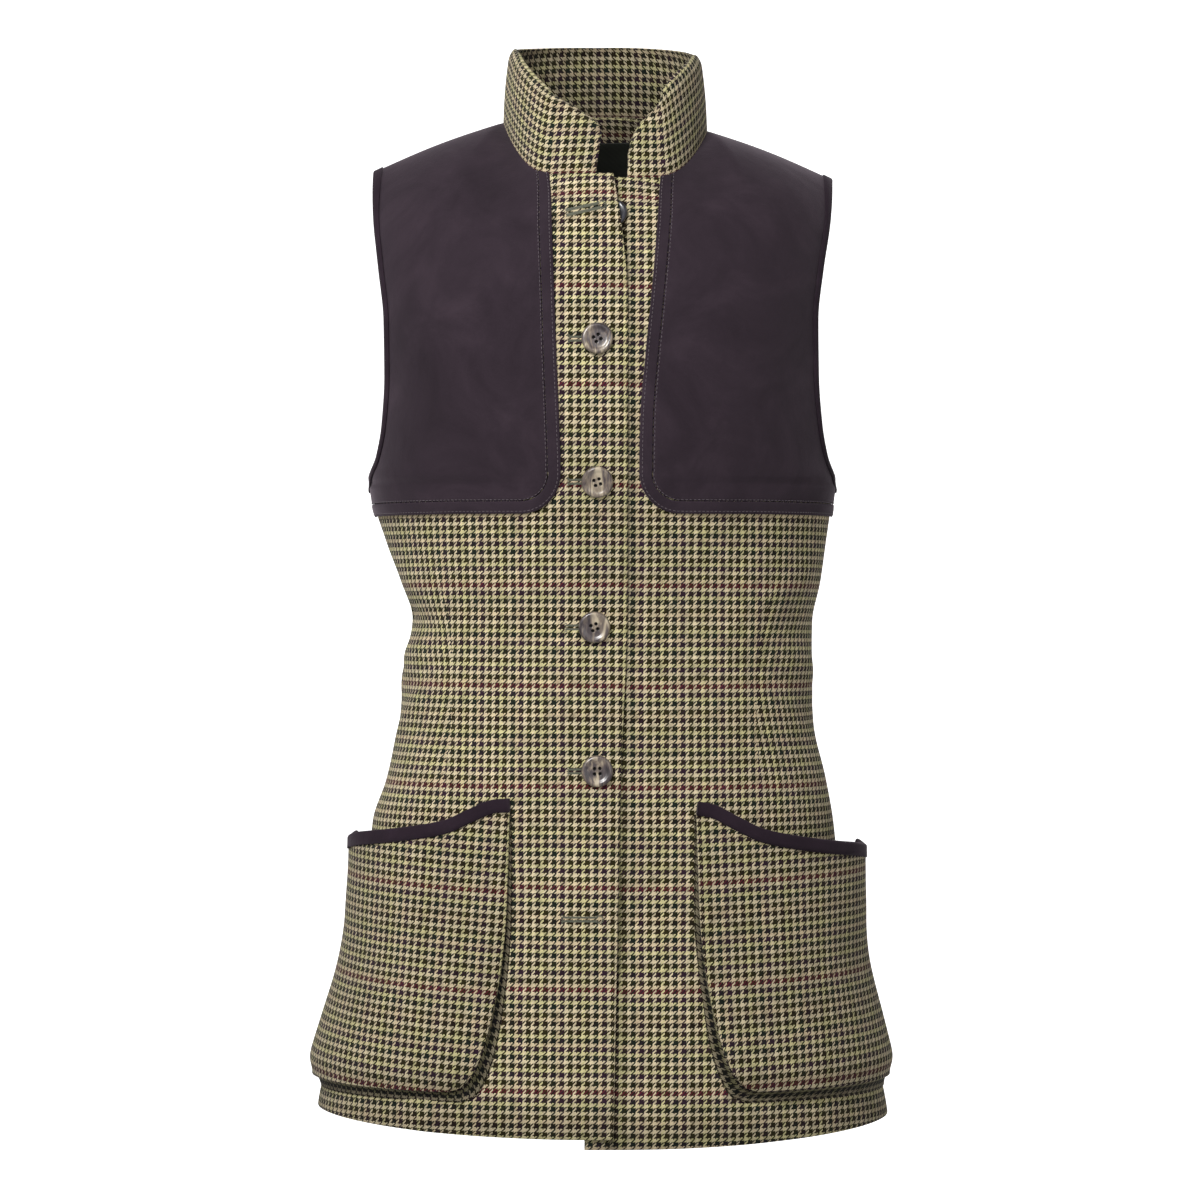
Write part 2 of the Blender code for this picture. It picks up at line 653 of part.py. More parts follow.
def make_patch_edge(word, panel):
    """The strip down the patch's inner edge, round its corner and along its foot."""
    edges = [patch_outline(panel, inset) for inset in (0.0, EDGE_STRIP - SEAM_GAP)]
    low = np.array([points + LAY_GAP * normals for points, normals in edges])
    normals = np.array([normals for _, normals in edges])
    add_piece("patch_edge_" + word, *closed_grid(low + EDGE_STRIP_WALL * normals, low), "suede")


def make_armhole_binding(side, word, front, back):
    """The binding round one armhole, just past the cut edges of the front and the back."""
    start = ROW_HEIGHTS.index(UNDERARM)
    edge = -1 if side == LEFT else 0
    points = np.vstack([front.points[start:, -1], back.points[-2:start:-1, edge]])
    normals = np.vstack([front.normals[start:, -1], back.normals[-2:start:-1, edge]])
    centre = points.mean(axis=0)
    hole_way = edge_ways(points, normals, centre - points, ring=True)
    on_front = np.arange(len(points)) < len(front.points) - start
    width, inwards, outwards = ARMHOLE_BINDING
    outer_depth = np.where(on_front, outwards, 0.5 * outwards)
    add_band("armhole_binding_" + word, points, normals, hole_way, width, inwards, outer_depth, ring=True)


def body_at(side, distance, z):
    """Point and normal of the vest's side at a distance round from the centre front."""
    found = []
    for step in (0.0, 1.0):
        front = quarter(side, z + step)
        behind = quarter(side, z + step, back=True)
        ring = np.vstack([front, behind[-2::-1]])
        found.append(along(ring, np.array([distance, distance + 1.0])))
    normal = np.cross(found[0][1] - found[0][0], found[1][0] - found[0][0])
    return found[0][0] * (side, 1, 1), unit(normal) * (side, 1, 1)


def on_body(side, places, heights):
    """Points and normals of the vest's side for grids of places and heights."""
    pairs = [body_at(side, place, z) for place, z in zip(places.ravel(), heights.ravel())]
    points, normals = np.array(pairs).transpose(1, 0, 2)
    return points.reshape(*places.shape, 3), normals.reshape(*places.shape, 3)


def outline(grid):
    """A grid's edge, down its first column, along its foot and up its last column."""
    return np.concatenate([grid[:0:-1, 0], grid[0], grid[1:, -1]])


def roll_in(distance, depth, width):
    """How far an edge rolls in, at distances from it."""
    return depth * np.exp(-((distance / width) ** 2))


def make_pocket(side, word):
    """A bellows pocket: its front, its gusset on three sides and the binding of its mouth."""
    up, out = np.meshgrid(POCKET_UPS, POCKET_OUTS, indexing="ij")
    z = POCKET_FOOT + up * (smooth(out, MOUTH, word) - POCKET_FOOT)
    inner = smooth(z, POCKET_SIDE, "inner")
    seam = np.array([lengths(quarter(side, height))[-1] for height in z.ravel()]).reshape(z.shape)
    place = inner + out * (seam + smooth(z, POCKET_SIDE, "past_seam") - inner)
    skin, normals = on_body(side, place, z)
    share = 1 - fade(out, 0.0, BELLOWS_TURN)
    inner_depth, outer_depth = smooth(up, BELLOWS, "inner"), smooth(up, BELLOWS, word)
    depth = inner_depth + (outer_depth - inner_depth) * share
    depth += POCKET_BULGE * np.sin(np.pi * out) * np.sin(np.pi * (BULGE_START + BULGE_SPAN * up))
    depth -= roll_in(z - POCKET_FOOT, *FOOT_ROLL) + roll_in(place - inner, *SIDE_ROLL) * (1 - up)
    pocket = Panel(skin + depth[..., None] * normals, CLOTH)
    pocket.normals *= np.sign(np.sum(pocket.normals * normals, axis=-1, keepdims=True))
    add_wall("pocket_" + word, pocket, "tweed")

    top = pocket.points[-1]
    up_way = edge_ways(top, pocket.normals[-1], np.tile((0, 0, 1.0), (len(top), 1)))
    width, inwards, outwards = POCKET_BINDING
    add_band("pocket_binding_" + word, top, pocket.normals[-1], up_way, width, inwards, outwards)

    inner_spread, outer_spread = smooth(up, GUSSET_SPREAD, "inner"), smooth(up, GUSSET_SPREAD, "outer")
    wider = outline(place - inner_spread * (1 - out) + outer_spread * out)
    foot, normal = on_body(side, wider, outline(z - smooth(up, GUSSET_SPREAD, "foot")))
    middle = skin[len(POCKET_UPS) // 2, len(POCKET_OUTS) // 2]
    inward = edge_ways(foot, normal, middle - foot)
    head = outline(pocket.points) - (CLOTH + SEAM_GAP) * outline(pocket.normals)
    outer = np.array([foot + GUSSET_FOOT * normal, head])
    add_piece("pocket_gusset_" + word, *closed_grid(outer, outer + GUSSET_WALL * inward), "tweed")


def make_button(number, place, fronts):
    """A turned button with a rim, a dished face and four holes, flat against the cloth."""
    side = LEFT if place.under else RIGHT
    panel = fronts[side]
    chest = len(ROW_HEIGHTS) - 1
    row = np.interp(place.z, ROW_HEIGHTS, np.arange(len(ROW_HEIGHTS)))
    if place.z > CHEST:
        yoke = panel.points[chest:, 1, 2]
        row = chest + np.interp(place.z, yoke, np.arange(len(yoke)))
    columns = np.arange(STAND_COLUMNS + 2)
    line, _ = panel.at(row, columns)
    column = np.interp(place.x * side, line[:, 0] * side, columns)
    seat, normal = panel.at(row, column)
    mesh = bpy.data.meshes.new(f"button_{number}")
    turned = bmesh.new()
    spine = [turned.verts.new((radius * MM, 0, height * MM)) for radius, height in BUTTON_PROFILE]
    edges = [turned.edges.new(pair) for pair in zip(spine, spine[1:])]
    bmesh.ops.spin(
        turned,
        geom=spine + edges,
        cent=(0, 0, 0),
        axis=(0, 0, 1),
        angle=2 * np.pi,
        steps=BUTTON_SEGMENTS,
        use_merge=True,
    )
    bmesh.ops.remove_doubles(turned, verts=turned.verts, dist=0.00002)
    bmesh.ops.recalc_face_normals(turned, faces=turned.faces)
    turned.to_mesh(mesh)
    turned.free()
    mesh.materials.append(material("horn").copy())
    mesh.materials[0].name = f"button_{number}_horn"
    button = bpy.data.objects.new(f"button_{number}", mesh)
    bpy.context.collection.objects.link(button)
    turn = Vector(normal).to_track_quat("Z", "Y").to_matrix().to_4x4()
    button.matrix_world = Matrix.Translation((Vector(seat) + Vector(normal) * BUTTON_SEAT) * MM) @ turn
    drill = bpy.data.meshes.new(f"drill_{number}")
    bits = bmesh.new()
    for k in range(4):
        angle = np.pi / 4 + k * np.pi / 2
        across, up = HOLE_OFFSET * np.cos(angle), HOLE_OFFSET * np.sin(angle)
        bmesh.ops.create_cone(
            bits,
            cap_ends=True,
            segments=HOLE_SIDES,
            radius1=HOLE_RADIUS * MM,
            radius2=HOLE_RADIUS * MM,
            depth=DRILL_LENGTH * MM,
            matrix=Matrix.Translation((across * MM, up * MM, 0)),
        )
    bits.to_mesh(drill)
    bits.free()
    cutter = bpy.data.objects.new(f"drill_{number}", drill)
    bpy.context.collection.objects.link(cutter)
    cutter.matrix_world = button.matrix_world
    cutter.hide_render = True
    cutter.display_type = "WIRE"
    cut = button.modifiers.new("holes", "BOOLEAN")
    cut.operation = "DIFFERENCE"
    cut.solver = "EXACT"
    cut.object = cutter
    mesh.shade_smooth()
    mesh.set_sharp_from_angle(angle=CREASE_ANGLE)


def main():
    for thing in list(bpy.data.objects):
        bpy.data.objects.remove(thing, do_unlink=True)
    fronts = {side: front_panel(side) for side in (RIGHT, LEFT)}
    back = back_panel()
    add_wall("front_right", fronts[RIGHT], "tweed")
    add_wall("front_left", fronts[LEFT], "tweed")
    add_wall("back", back, "tweed")
    make_lining(back)
    make_collar(fronts, back)
    for side, word in WORD.items():
        make_patch(word, fronts[side])
        make_patch_edge(word, fronts[side])
        make_armhole_binding(side, word, fronts[side], back)
        make_pocket(side, word)
    for number, place in enumerate(BUTTONS, start=1):
        make_button(number, place, fronts)


main()
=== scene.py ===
# %% [markdown]
# A shooting vest in check tweed, with suede shoulder patches and bellows pockets.
# The vest is worn but empty, so every panel is a curved sheet on the form of a torso.
# Each sheet could be sculpted by hand or draped by a simulation. Here each one is a
# surface worked out from a short table of sizes, so that a pocket or a patch can be made
# from the same numbers as the panel it lies on, and sits on it exactly.

# %% Load the frame
from collections import namedtuple

import bpy
import numpy as np
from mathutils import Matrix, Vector


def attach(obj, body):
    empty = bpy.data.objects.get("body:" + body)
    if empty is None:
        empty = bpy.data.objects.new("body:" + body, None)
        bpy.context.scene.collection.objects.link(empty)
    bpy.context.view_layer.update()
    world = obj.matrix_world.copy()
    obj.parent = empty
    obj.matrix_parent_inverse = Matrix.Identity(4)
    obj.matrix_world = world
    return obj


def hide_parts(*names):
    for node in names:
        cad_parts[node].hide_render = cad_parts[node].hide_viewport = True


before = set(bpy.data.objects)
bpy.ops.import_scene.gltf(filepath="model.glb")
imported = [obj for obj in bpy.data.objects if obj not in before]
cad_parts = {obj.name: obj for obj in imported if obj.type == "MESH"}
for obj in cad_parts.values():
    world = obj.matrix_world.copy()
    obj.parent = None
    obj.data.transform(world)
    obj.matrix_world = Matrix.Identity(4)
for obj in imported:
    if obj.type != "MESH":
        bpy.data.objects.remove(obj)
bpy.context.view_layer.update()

MM = 0.001
RIGHT, LEFT = -1, 1  # side of the wearer, also the sign of x
WORD = {RIGHT: "right", LEFT: "left"}

# %% [markdown]
# The camera stands level with the middle of the vest, three metres in front of it, so the
# shoulders and the hem show almost without perspective. Its lens follows from how wide
# the picture is at the vest. A wide lens close by would make the pockets loom.

# %% Camera
EYE_DISTANCE = 3.0
EYE_HEIGHT = -0.338
PICTURE_SIDE = 1200
PIXEL = 0.00072  # width of one pixel at the distance of the shoulders
CENTRE_PIXEL = 603  # picture column of the vest's centre line
SENSOR = 36.0

camera_data = bpy.data.cameras.new("camera")
camera_data.sensor_width = SENSOR
camera_data.lens = SENSOR * EYE_DISTANCE / (PICTURE_SIDE * PIXEL)
camera = bpy.data.objects.new("camera", camera_data)
camera.location = ((PICTURE_SIDE / 2 - CENTRE_PIXEL) * PIXEL, -EYE_DISTANCE, EYE_HEIGHT)
camera.rotation_euler = (np.pi / 2, 0, 0)
bpy.context.collection.objects.link(camera)
bpy.context.scene.camera = camera
print("lens", round(camera_data.lens, 1), "mm")

# %% [markdown]
# Studio light for cloth is large and soft, or every fold turns hard. One broad lamp in
# front gives the form, a wide one across from it and a weak one at the flank keep the
# shadows open, one behind draws the shoulders, and an even surround fills the rest. A small
# lamp would show the weave more, but its hard shadows would hide the cut.

# %% Light and floor
SURROUND = 0.3
LAMPS = (
    # name, place, width, power
    ("key", (-0.85, -1.85, 1.0), 0.7, 68),
    ("fill", (1.3, -2.5, 0.4), 1.6, 15),
    ("side", (-2.0, -0.6, 0.3), 1.2, 4),
    ("rim", (0.4, 1.9, 1.2), 1.2, 12),
)
AIM = Vector((0, 0, -0.35))


def add_lamp(name, place, width, power):
    """A square lamp that faces the middle of the vest."""
    data = bpy.data.lights.new(name, "AREA")
    data.size = width
    data.energy = power
    lamp = bpy.data.objects.new(name, data)
    lamp.location = place
    lamp.rotation_euler = (AIM - Vector(place)).to_track_quat("-Z", "Y").to_euler()
    bpy.context.collection.objects.link(lamp)


for lamp in LAMPS:
    add_lamp(*lamp)
world = bpy.data.worlds.new("surround")
world.use_nodes = True
world.node_tree.nodes["Background"].inputs["Color"].default_value = (1, 1, 1, 1)
world.node_tree.nodes["Background"].inputs["Strength"].default_value = SURROUND
bpy.context.scene.world = world
bpy.context.scene.view_settings.view_transform = "Standard"

# %% [markdown]
# Blender's materials are graphs of nodes. Three helpers keep the graphs short enough to
# read: one makes a node, one does sums, one mixes two values or colours.

# %% Helpers for materials


def join(tree, value, socket):
    """Link a socket, or set a plain value."""
    if isinstance(value, bpy.types.NodeSocket):
        tree.links.new(value, socket)
    else:
        socket.default_value = value


def node(tree, kind, inputs, **settings):
    """A node with its settings made and its inputs joined."""
    made = tree.nodes.new("ShaderNode" + kind)
    for key, value in settings.items():
        setattr(made, key, value)
    for key, value in inputs.items():
        join(tree, value, made.inputs[key])
    return made


def sums(tree, operation, a, b=0.0):
    """One step of arithmetic on sockets or numbers."""
    return node(tree, "Math", {0: a, 1: b}, operation=operation).outputs[0]


def blend(tree, share, a, b, how="MIX"):
    """Colour a turning to colour b by a share."""
    made = node(tree, "Mix", {0: share, 6: a, 7: b}, data_type="RGBA", blend_type=how)
    return made.outputs[2]


def steps(tree, place, colours, soft=False):
    """A row of colours read at a place from 0 to 1, in steps or with soft turns."""
    ramp = node(tree, "ValToRGB", {0: place})
    ramp.color_ramp.interpolation = "LINEAR" if soft else "CONSTANT"
    stops = ramp.color_ramp.elements
    for k, colour in enumerate(colours):
        at = k / (len(colours) - 1) if soft else k / len(colours)
        stop = stops[k] if k < 2 else stops.new(at)
        stop.position = at
        stop.color = (*colour, 1)
    return ramp.outputs[0]


def new_finish(name):
    """An empty material with its tree and its shader."""
    made = bpy.data.materials.new(name)
    made.use_nodes = True
    return made, made.node_tree, made.node_tree.nodes["Principled BSDF"]


def noise(tree, place, scale, detail=2.0, roughness=0.5, distortion=0.0):
    """Cloudy values from 0 to 1, scale times to the metre."""
    inputs = {"Vector": place, "Scale": scale, "Detail": detail}
    inputs.update({"Roughness": roughness, "Distortion": distortion})
    return node(tree, "TexNoise", inputs).outputs[0]


def object_place(tree):
    """The place of a point on its object."""
    return node(tree, "TexCoord", {}).outputs["Object"]


def roughen(tree, shader, height, depth, strength=1.0):
    """Turn a height from 0 to 1 into relief of a depth in metres."""
    relief = node(tree, "Bump", {"Height": height, "Distance": depth, "Strength": strength})
    tree.links.new(relief.outputs[0], shader.inputs["Normal"])


# %% [markdown]
# The tweed is a dogtooth check: four light and four dark yarns, both ways, in a two-and-two
# twill. It could be painted as a tile of teeth, but the teeth come by themselves if the
# weave is followed. Each place on the cloth has an upright yarn and a level one. The twill
# says which of them lies on top, and the top one gives its colour. Every twelfth band of
# level yarn is wine red, and the other dark bands turn between bottle green and olive brown.
# The pattern reads the UV map named cut, which holds the place on the flat cloth in metres,
# so it follows the cloth round the body and stops at seams and darts.

# %% Tweed
REPEAT = 5.86  # millimetres of four light and four dark yarns
YARN = REPEAT * MM / 8
CREAM = (0.62, 0.53, 0.35)
STRAW = (0.57, 0.52, 0.27)
ROSE = (0.60, 0.485, 0.31)
WINE = (0.095, 0.012, 0.020)
BOTTLE = (0.008, 0.013, 0.009)
OLIVE = (0.020, 0.016, 0.003)
PLUM = (0.024, 0.010, 0.020)
BLACK_BROWN = (0.014, 0.007, 0.004)
DARK_LEVEL = (
    WINE, OLIVE, PLUM, OLIVE, BOTTLE, PLUM,
    BOTTLE, OLIVE, BLACK_BROWN, OLIVE, BOTTLE, PLUM,
)
DARK_UPRIGHT = (PLUM, OLIVE, BLACK_BROWN, OLIVE, BOTTLE)
LIGHT_LEVEL = (
    ROSE, CREAM, STRAW, CREAM, STRAW, ROSE,
    STRAW, CREAM, ROSE, CREAM, STRAW, CREAM,
)
LIGHT_UPRIGHT = (CREAM, CREAM, STRAW, CREAM, ROSE)
DARK_SHARE = 4.6  # of the eight yarns in a repeat
YARN_STRAY = 1.0  # how far a yarn strays within a tooth, in yarns
CLOTH_STRAY = 2.6  # and over a hand's width
PAINTED_SHADE_DARKNESS = 0.8  # how much darker the painted shade makes the cloth where its value is 1


def make_tweed():
    """Weave logic on the flat cloth: yarn numbers, which yarn is on top, and its colour."""
    made, tree, shader = new_finish("tweed")
    flat = node(tree, "UVMap", {}, uv_map="cut").outputs[0]
    apart = node(tree, "SeparateXYZ", {0: flat})

    def times(value, factor):
        return sums(tree, "MULTIPLY", value, factor)

    def repeats(value, count):
        return sums(tree, "FLOORED_MODULO", value, float(count))

    def yarn_place(axis, fine, wide):
        """Place counted in yarns, with a fine and a wide stray from straight."""
        place = sums(tree, "DIVIDE", apart.outputs[axis], YARN)
        fine_stray = times(sums(tree, "SUBTRACT", noise(tree, flat, fine), 0.5), YARN_STRAY)
        wide_stray = times(sums(tree, "SUBTRACT", noise(tree, flat, wide), 0.5), CLOTH_STRAY)
        return sums(tree, "ADD", sums(tree, "ADD", place, fine_stray), wide_stray)

    def band(place, colours):
        """Colour of the band of yarns at a place, from a round of colours."""
        turn = repeats(sums(tree, "FLOOR", sums(tree, "DIVIDE", place, 8.0)), len(colours))
        at = sums(tree, "DIVIDE", sums(tree, "ADD", turn, 0.5), float(len(colours)))
        return steps(tree, at, colours)

    def crown(place):
        """Height across a round yarn: one less the square of twice the way from its middle."""
        way = sums(tree, "SUBTRACT", sums(tree, "FRACT", place), 0.5)
        return sums(tree, "SUBTRACT", 1.0, times(times(way, way), 4.0))

    across, up = yarn_place(0, 260.0, 9.0), yarn_place(1, 330.0, 7.0)
    difference = sums(tree, "SUBTRACT", sums(tree, "FLOOR", across), sums(tree, "FLOOR", up))
    on_top = sums(tree, "LESS_THAN", repeats(difference, 4), 2.0)
    level_dark = sums(tree, "LESS_THAN", repeats(up, 8), DARK_SHARE)
    upright_dark = sums(tree, "LESS_THAN", repeats(across, 8), DARK_SHARE)
    level_colour = blend(tree, level_dark, band(up, LIGHT_LEVEL), band(up, DARK_LEVEL))
    upright_colour = blend(tree, upright_dark, band(across, LIGHT_UPRIGHT), band(across, DARK_UPRIGHT))
    colour = blend(tree, on_top, level_colour, upright_colour)

    height = node(tree, "Mix", {0: on_top, 2: crown(up), 3: crown(across)}, data_type="FLOAT").outputs[0]
    fibres = noise(tree, flat, 2600.0, detail=3.0, roughness=0.7)
    teeth = noise(tree, flat, 170.0, detail=1.0)
    wear = noise(tree, flat, 16.0, detail=3.0)
    # The yarns' crowns darken the colour at each yarn's edges: painted shade between the yarns. Fibres,
    # teeth and wear add random tone.
    shade = times(height, 0.55)
    for part, amount in ((fibres, 0.5), (teeth, 0.9), (wear, 0.3)):
        shade = sums(tree, "ADD", shade, times(part, amount))
    shade = sums(tree, "SUBTRACT", shade, 0.42)
    # Painted shade: the value stored at each point darkens the cloth.
    fold = node(tree, "Attribute", {}, attribute_name="painted_shade").outputs["Fac"]
    shade = sums(tree, "MULTIPLY", shade, sums(tree, "SUBTRACT", 1.0, times(fold, PAINTED_SHADE_DARKNESS)))
    grey = node(tree, "CombineColor", {0: shade, 1: shade, 2: shade}).outputs[0]
    tree.links.new(blend(tree, 1.0, colour, grey, "MULTIPLY"), shader.inputs["Base Color"])
    shader.inputs["Roughness"].default_value = 0.95
    shader.inputs["Specular IOR Level"].default_value = 0.1
    shader.inputs["Sheen Weight"].default_value = 0.05
    shader.inputs["Sheen Roughness"].default_value = 0.5
    rough = sums(tree, "ADD", height, times(fibres, 0.9))
    roughen(tree, shader, rough, 0.00028, 0.6)
    return made


TWEED = make_tweed()
print("tweed nodes", len(TWEED.node_tree.nodes))

# %% [markdown]
# Suede has no shine: its nap scatters light, looks paler where it is brushed one way, and
# has a fine grain. Sheen gives the pale bloom at glancing angles, a cloudy mottle gives the
# brushed look, and two sizes of relief give the grain and the soft unevenness of hide.

# %% Suede
SUEDE_COLOURS = ((0.0125, 0.0080, 0.0115), (0.0205, 0.0135, 0.0190), (0.0330, 0.0220, 0.0300))
# The bindings take a darker copy of the suede, with less bloom: painted shade.
SHADED_SUEDE_COLOURS = ((0.0085, 0.0045, 0.0080), (0.0140, 0.0080, 0.0130), (0.0230, 0.0135, 0.0215))


def make_suede(name, colours, bloom):
    """Cloudy dark aubergine with a fine nap."""
    made, tree, shader = new_finish(name)
    place = object_place(tree)
    clouds = noise(tree, place, 18.0, detail=6.0, roughness=0.62, distortion=0.7)
    clouds = sums(tree, "ADD", sums(tree, "MULTIPLY", sums(tree, "SUBTRACT", clouds, 0.5), 2.4), 0.5)
    nap = noise(tree, place, 900.0, detail=3.0, roughness=0.7)
    share = sums(tree, "ADD", sums(tree, "MULTIPLY", clouds, 0.72), sums(tree, "MULTIPLY", nap, 0.28))
    colour = steps(tree, share, colours, soft=True)
    tree.links.new(colour, shader.inputs["Base Color"])
    shader.inputs["Roughness"].default_value = 0.95
    shader.inputs["Specular IOR Level"].default_value = 0.15
    shader.inputs["Sheen Weight"].default_value = bloom
    shader.inputs["Sheen Roughness"].default_value = 0.45
    shader.inputs["Sheen Tint"].default_value = (0.75, 0.62, 0.72, 1)
    relief = sums(tree, "ADD", nap, sums(tree, "MULTIPLY", noise(tree, place, 60.0), 4.0))
    roughen(tree, shader, relief, 0.0002, 0.6)
    return made


SUEDE = make_suede("suede", SUEDE_COLOURS, 0.16)
SUEDE_SHADED = make_suede("suede_shaded", SHADED_SUEDE_COLOURS, 0.1)

# %% [markdown]
# The lining is a smooth dark twill, nearly black, with a soft gloss. Fine diagonal ribs
# catch a little light, which tells it from the wool.

# %% Lining
LINING_DARK = (0.0028, 0.0032, 0.0020)
LINING_PALE = (0.0060, 0.0070, 0.0045)
TWILL = 900.0  # ribs to the metre


def make_lining_finish():
    """Dark green twill: diagonal ribs on the flat cloth."""
    made, tree, shader = new_finish("lining")
    flat = node(tree, "UVMap", {}, uv_map="cut").outputs[0]
    ribs = node(tree, "TexWave", {"Vector": flat, "Scale": TWILL / 6.28}, bands_direction="DIAGONAL")
    share = sums(tree, "ADD", sums(tree, "MULTIPLY", ribs.outputs[1], 0.5), noise(tree, flat, 60.0))
    colour = steps(tree, share, (LINING_DARK, LINING_PALE), soft=True)
    tree.links.new(colour, shader.inputs["Base Color"])
    shader.inputs["Roughness"].default_value = 0.55
    shader.inputs["Specular IOR Level"].default_value = 0.25
    roughen(tree, shader, ribs.outputs[1], 0.00006, 0.5)
    return made


LINING_CLOTH = make_lining_finish()

# %% [markdown]
# Horn is cut from a solid block, so its streaks run through the button. Noise that is
# stretched one way and bent gives the streaks, and a thin clear coat gives the polish.

# %% Horn and thread
HORN_COLOURS = (
    (0.020, 0.015, 0.017),
    (0.055, 0.042, 0.044),
    (0.16, 0.125, 0.095),
    (0.38, 0.32, 0.23),
)
# The top button lies in the lap's shade, painted as a darker copy of the horn.
SHADED_HORN_COLOURS = (
    (0.008, 0.008, 0.011),
    (0.018, 0.018, 0.024),
    (0.04, 0.04, 0.05),
    (0.09, 0.09, 0.11),
)
PIT_COLOURS = ((0.002, 0.002, 0.002), (0.006, 0.005, 0.005))


def make_horn(name, colours):
    """Horn with bent streaks."""
    made, tree, shader = new_finish(name)
    place = node(tree, "Mapping", {0: object_place(tree), 2: (0, 0.6, 0), 3: (2.4, 1.0, 0.7)}).outputs[0]
    streaks = noise(tree, place, 38.0, detail=5.0, roughness=0.6, distortion=2.2)
    wide = sums(tree, "ADD", sums(tree, "MULTIPLY", sums(tree, "SUBTRACT", streaks, 0.5), 3.4), 0.5)
    tree.links.new(steps(tree, wide, colours, soft=True), shader.inputs["Base Color"])
    shader.inputs["Roughness"].default_value = 0.34
    shader.inputs["Coat Weight"].default_value = 0.35
    shader.inputs["Coat Roughness"].default_value = 0.18
    roughen(tree, shader, noise(tree, place, 500.0), 0.00004, 0.5)
    return made


def make_thread(name, colour):
    """Twisted thread of one colour, with random darker flecks as painted shade of its grooves."""
    made, tree, shader = new_finish(name)
    ply = noise(tree, object_place(tree), 3000.0, detail=2.0)
    dark = tuple(0.55 * part for part in colour)
    tree.links.new(steps(tree, ply, (dark, colour), soft=True), shader.inputs["Base Color"])
    shader.inputs["Roughness"].default_value = 0.7
    shader.inputs["Sheen Weight"].default_value = 0.2
    return made


def make_pit():
    """The drilled holes, dark with thread and shadow."""
    made, tree, shader = new_finish("pit")
    dark = steps(tree, noise(tree, object_place(tree), 2000.0), PIT_COLOURS, soft=True)
    tree.links.new(dark, shader.inputs["Base Color"])
    shader.inputs["Roughness"].default_value = 0.9
    return made


HORN = make_horn("horn", HORN_COLOURS)
HORN_SHADED = make_horn("horn_shaded", SHADED_HORN_COLOURS)
PIT = make_pit()
TOP_THREAD = make_thread("top_thread", (0.085, 0.063, 0.075))
HOLE_THREAD = make_thread("hole_thread", (0.085, 0.09, 0.055))

# %% [markdown]
# A pale sweep of paper stands behind and below the vest, curved up from the floor so that
# no edge shows. It isn't part of the vest. In a studio, lamps of its own wash such paper
# white. They would light the vest too here, so the paper glows a little instead, in a pool
# behind the vest.

# %% Paper sweep
SWEEP_WIDTH = 18.0
SWEEP_FRONT, SWEEP_BACK = -14.0, 7.0
FLOOR = -1.9
SWEEP_TOP = 7.0
SWEEP_BEND = 2.5
PAPER_GLOW = 0.9
GLOW_BACK = (2.0, 3.6)  # where the pool starts and is full, so none of it comes from below
GLOW_ASIDE = (5.5, 2.2)
GLOW_ABOVE = (5.5, 2.2)
PAPER_COLOURS = ((0.86, 0.86, 0.86), (0.89, 0.89, 0.89))


def make_sweep():
    """A floor line, a quarter circle and a wall line, carried straight across."""
    turn = np.linspace(0, np.pi / 2, 25)
    bend_y = SWEEP_BACK - SWEEP_BEND + SWEEP_BEND * np.sin(turn)
    bend_z = FLOOR + SWEEP_BEND * (1 - np.cos(turn))
    bend = np.column_stack([bend_y, bend_z])
    line = np.vstack([[SWEEP_FRONT, FLOOR], bend, [SWEEP_BACK, SWEEP_TOP]])
    edges = (-SWEEP_WIDTH / 2, SWEEP_WIDTH / 2)
    sides = [np.column_stack([np.full(len(line), x), line]) for x in edges]
    n = len(line)
    first = np.arange(n - 1)
    faces = np.column_stack([first, first + n, first + n + 1, first + 1])
    mesh = bpy.data.meshes.new("paper_sweep")
    mesh.from_pydata(np.vstack(sides).tolist(), [], faces.tolist())
    mesh.shade_smooth()
    sweep = bpy.data.objects.new("paper_sweep", mesh)
    bpy.context.collection.objects.link(sweep)
    made, tree, shader = new_finish("paper")
    pale = steps(tree, noise(tree, object_place(tree), 3.0), PAPER_COLOURS, soft=True)
    tree.links.new(pale, shader.inputs["Base Color"])
    shader.inputs["Roughness"].default_value = 0.9
    shader.inputs["Emission Color"].default_value = (1, 1, 1, 1)
    x, y, z = node(tree, "SeparateXYZ", {0: object_place(tree)}).outputs
    aside = sums(tree, "ABSOLUTE", x)
    glow = PAPER_GLOW
    for place, (start, full) in ((y, GLOW_BACK), (aside, GLOW_ASIDE), (z, GLOW_ABOVE)):
        ends = {"Value": place, "From Min": start, "From Max": full}
        pool = node(tree, "MapRange", ends, interpolation_type="SMOOTHSTEP").outputs[0]
        glow = sums(tree, "MULTIPLY", pool, glow)
    tree.links.new(glow, shader.inputs["Emission Strength"])
    mesh.materials.append(made)


make_sweep()

# %% [markdown]
# The vest's form comes from tables of real sizes in millimetres. At each height the torso
# has a half width on each side and a depth in front and behind. A smooth curve is drawn
# through each column of a table, one that never overshoots, so that a waist stays a waist.

# %% Sizes of the torso
CLOTH = 1.8  # wall of the tweed with its lining
LINING = 1.0
SUEDE_WALL = 1.2
COLLAR_WALL = 2.6
SEAM_GAP = 0.3
SEAM_OVERLAP = 0.5  # sewn edges press into each other, so no light comes through
COLLAR_OVERLAP = 0.6
LAY_GAP = 0.5  # between a panel and what lies on it
LAP = 1.3  # how far the lapped fronts stand out and in
BUTTON_ROOM = 4.3  # extra lift of the lap over a button that lies under it
BUTTON_ROOM_LENGTH = 42.0
LAP_FULL, LAP_END = 35, 72  # distances from a front's edge

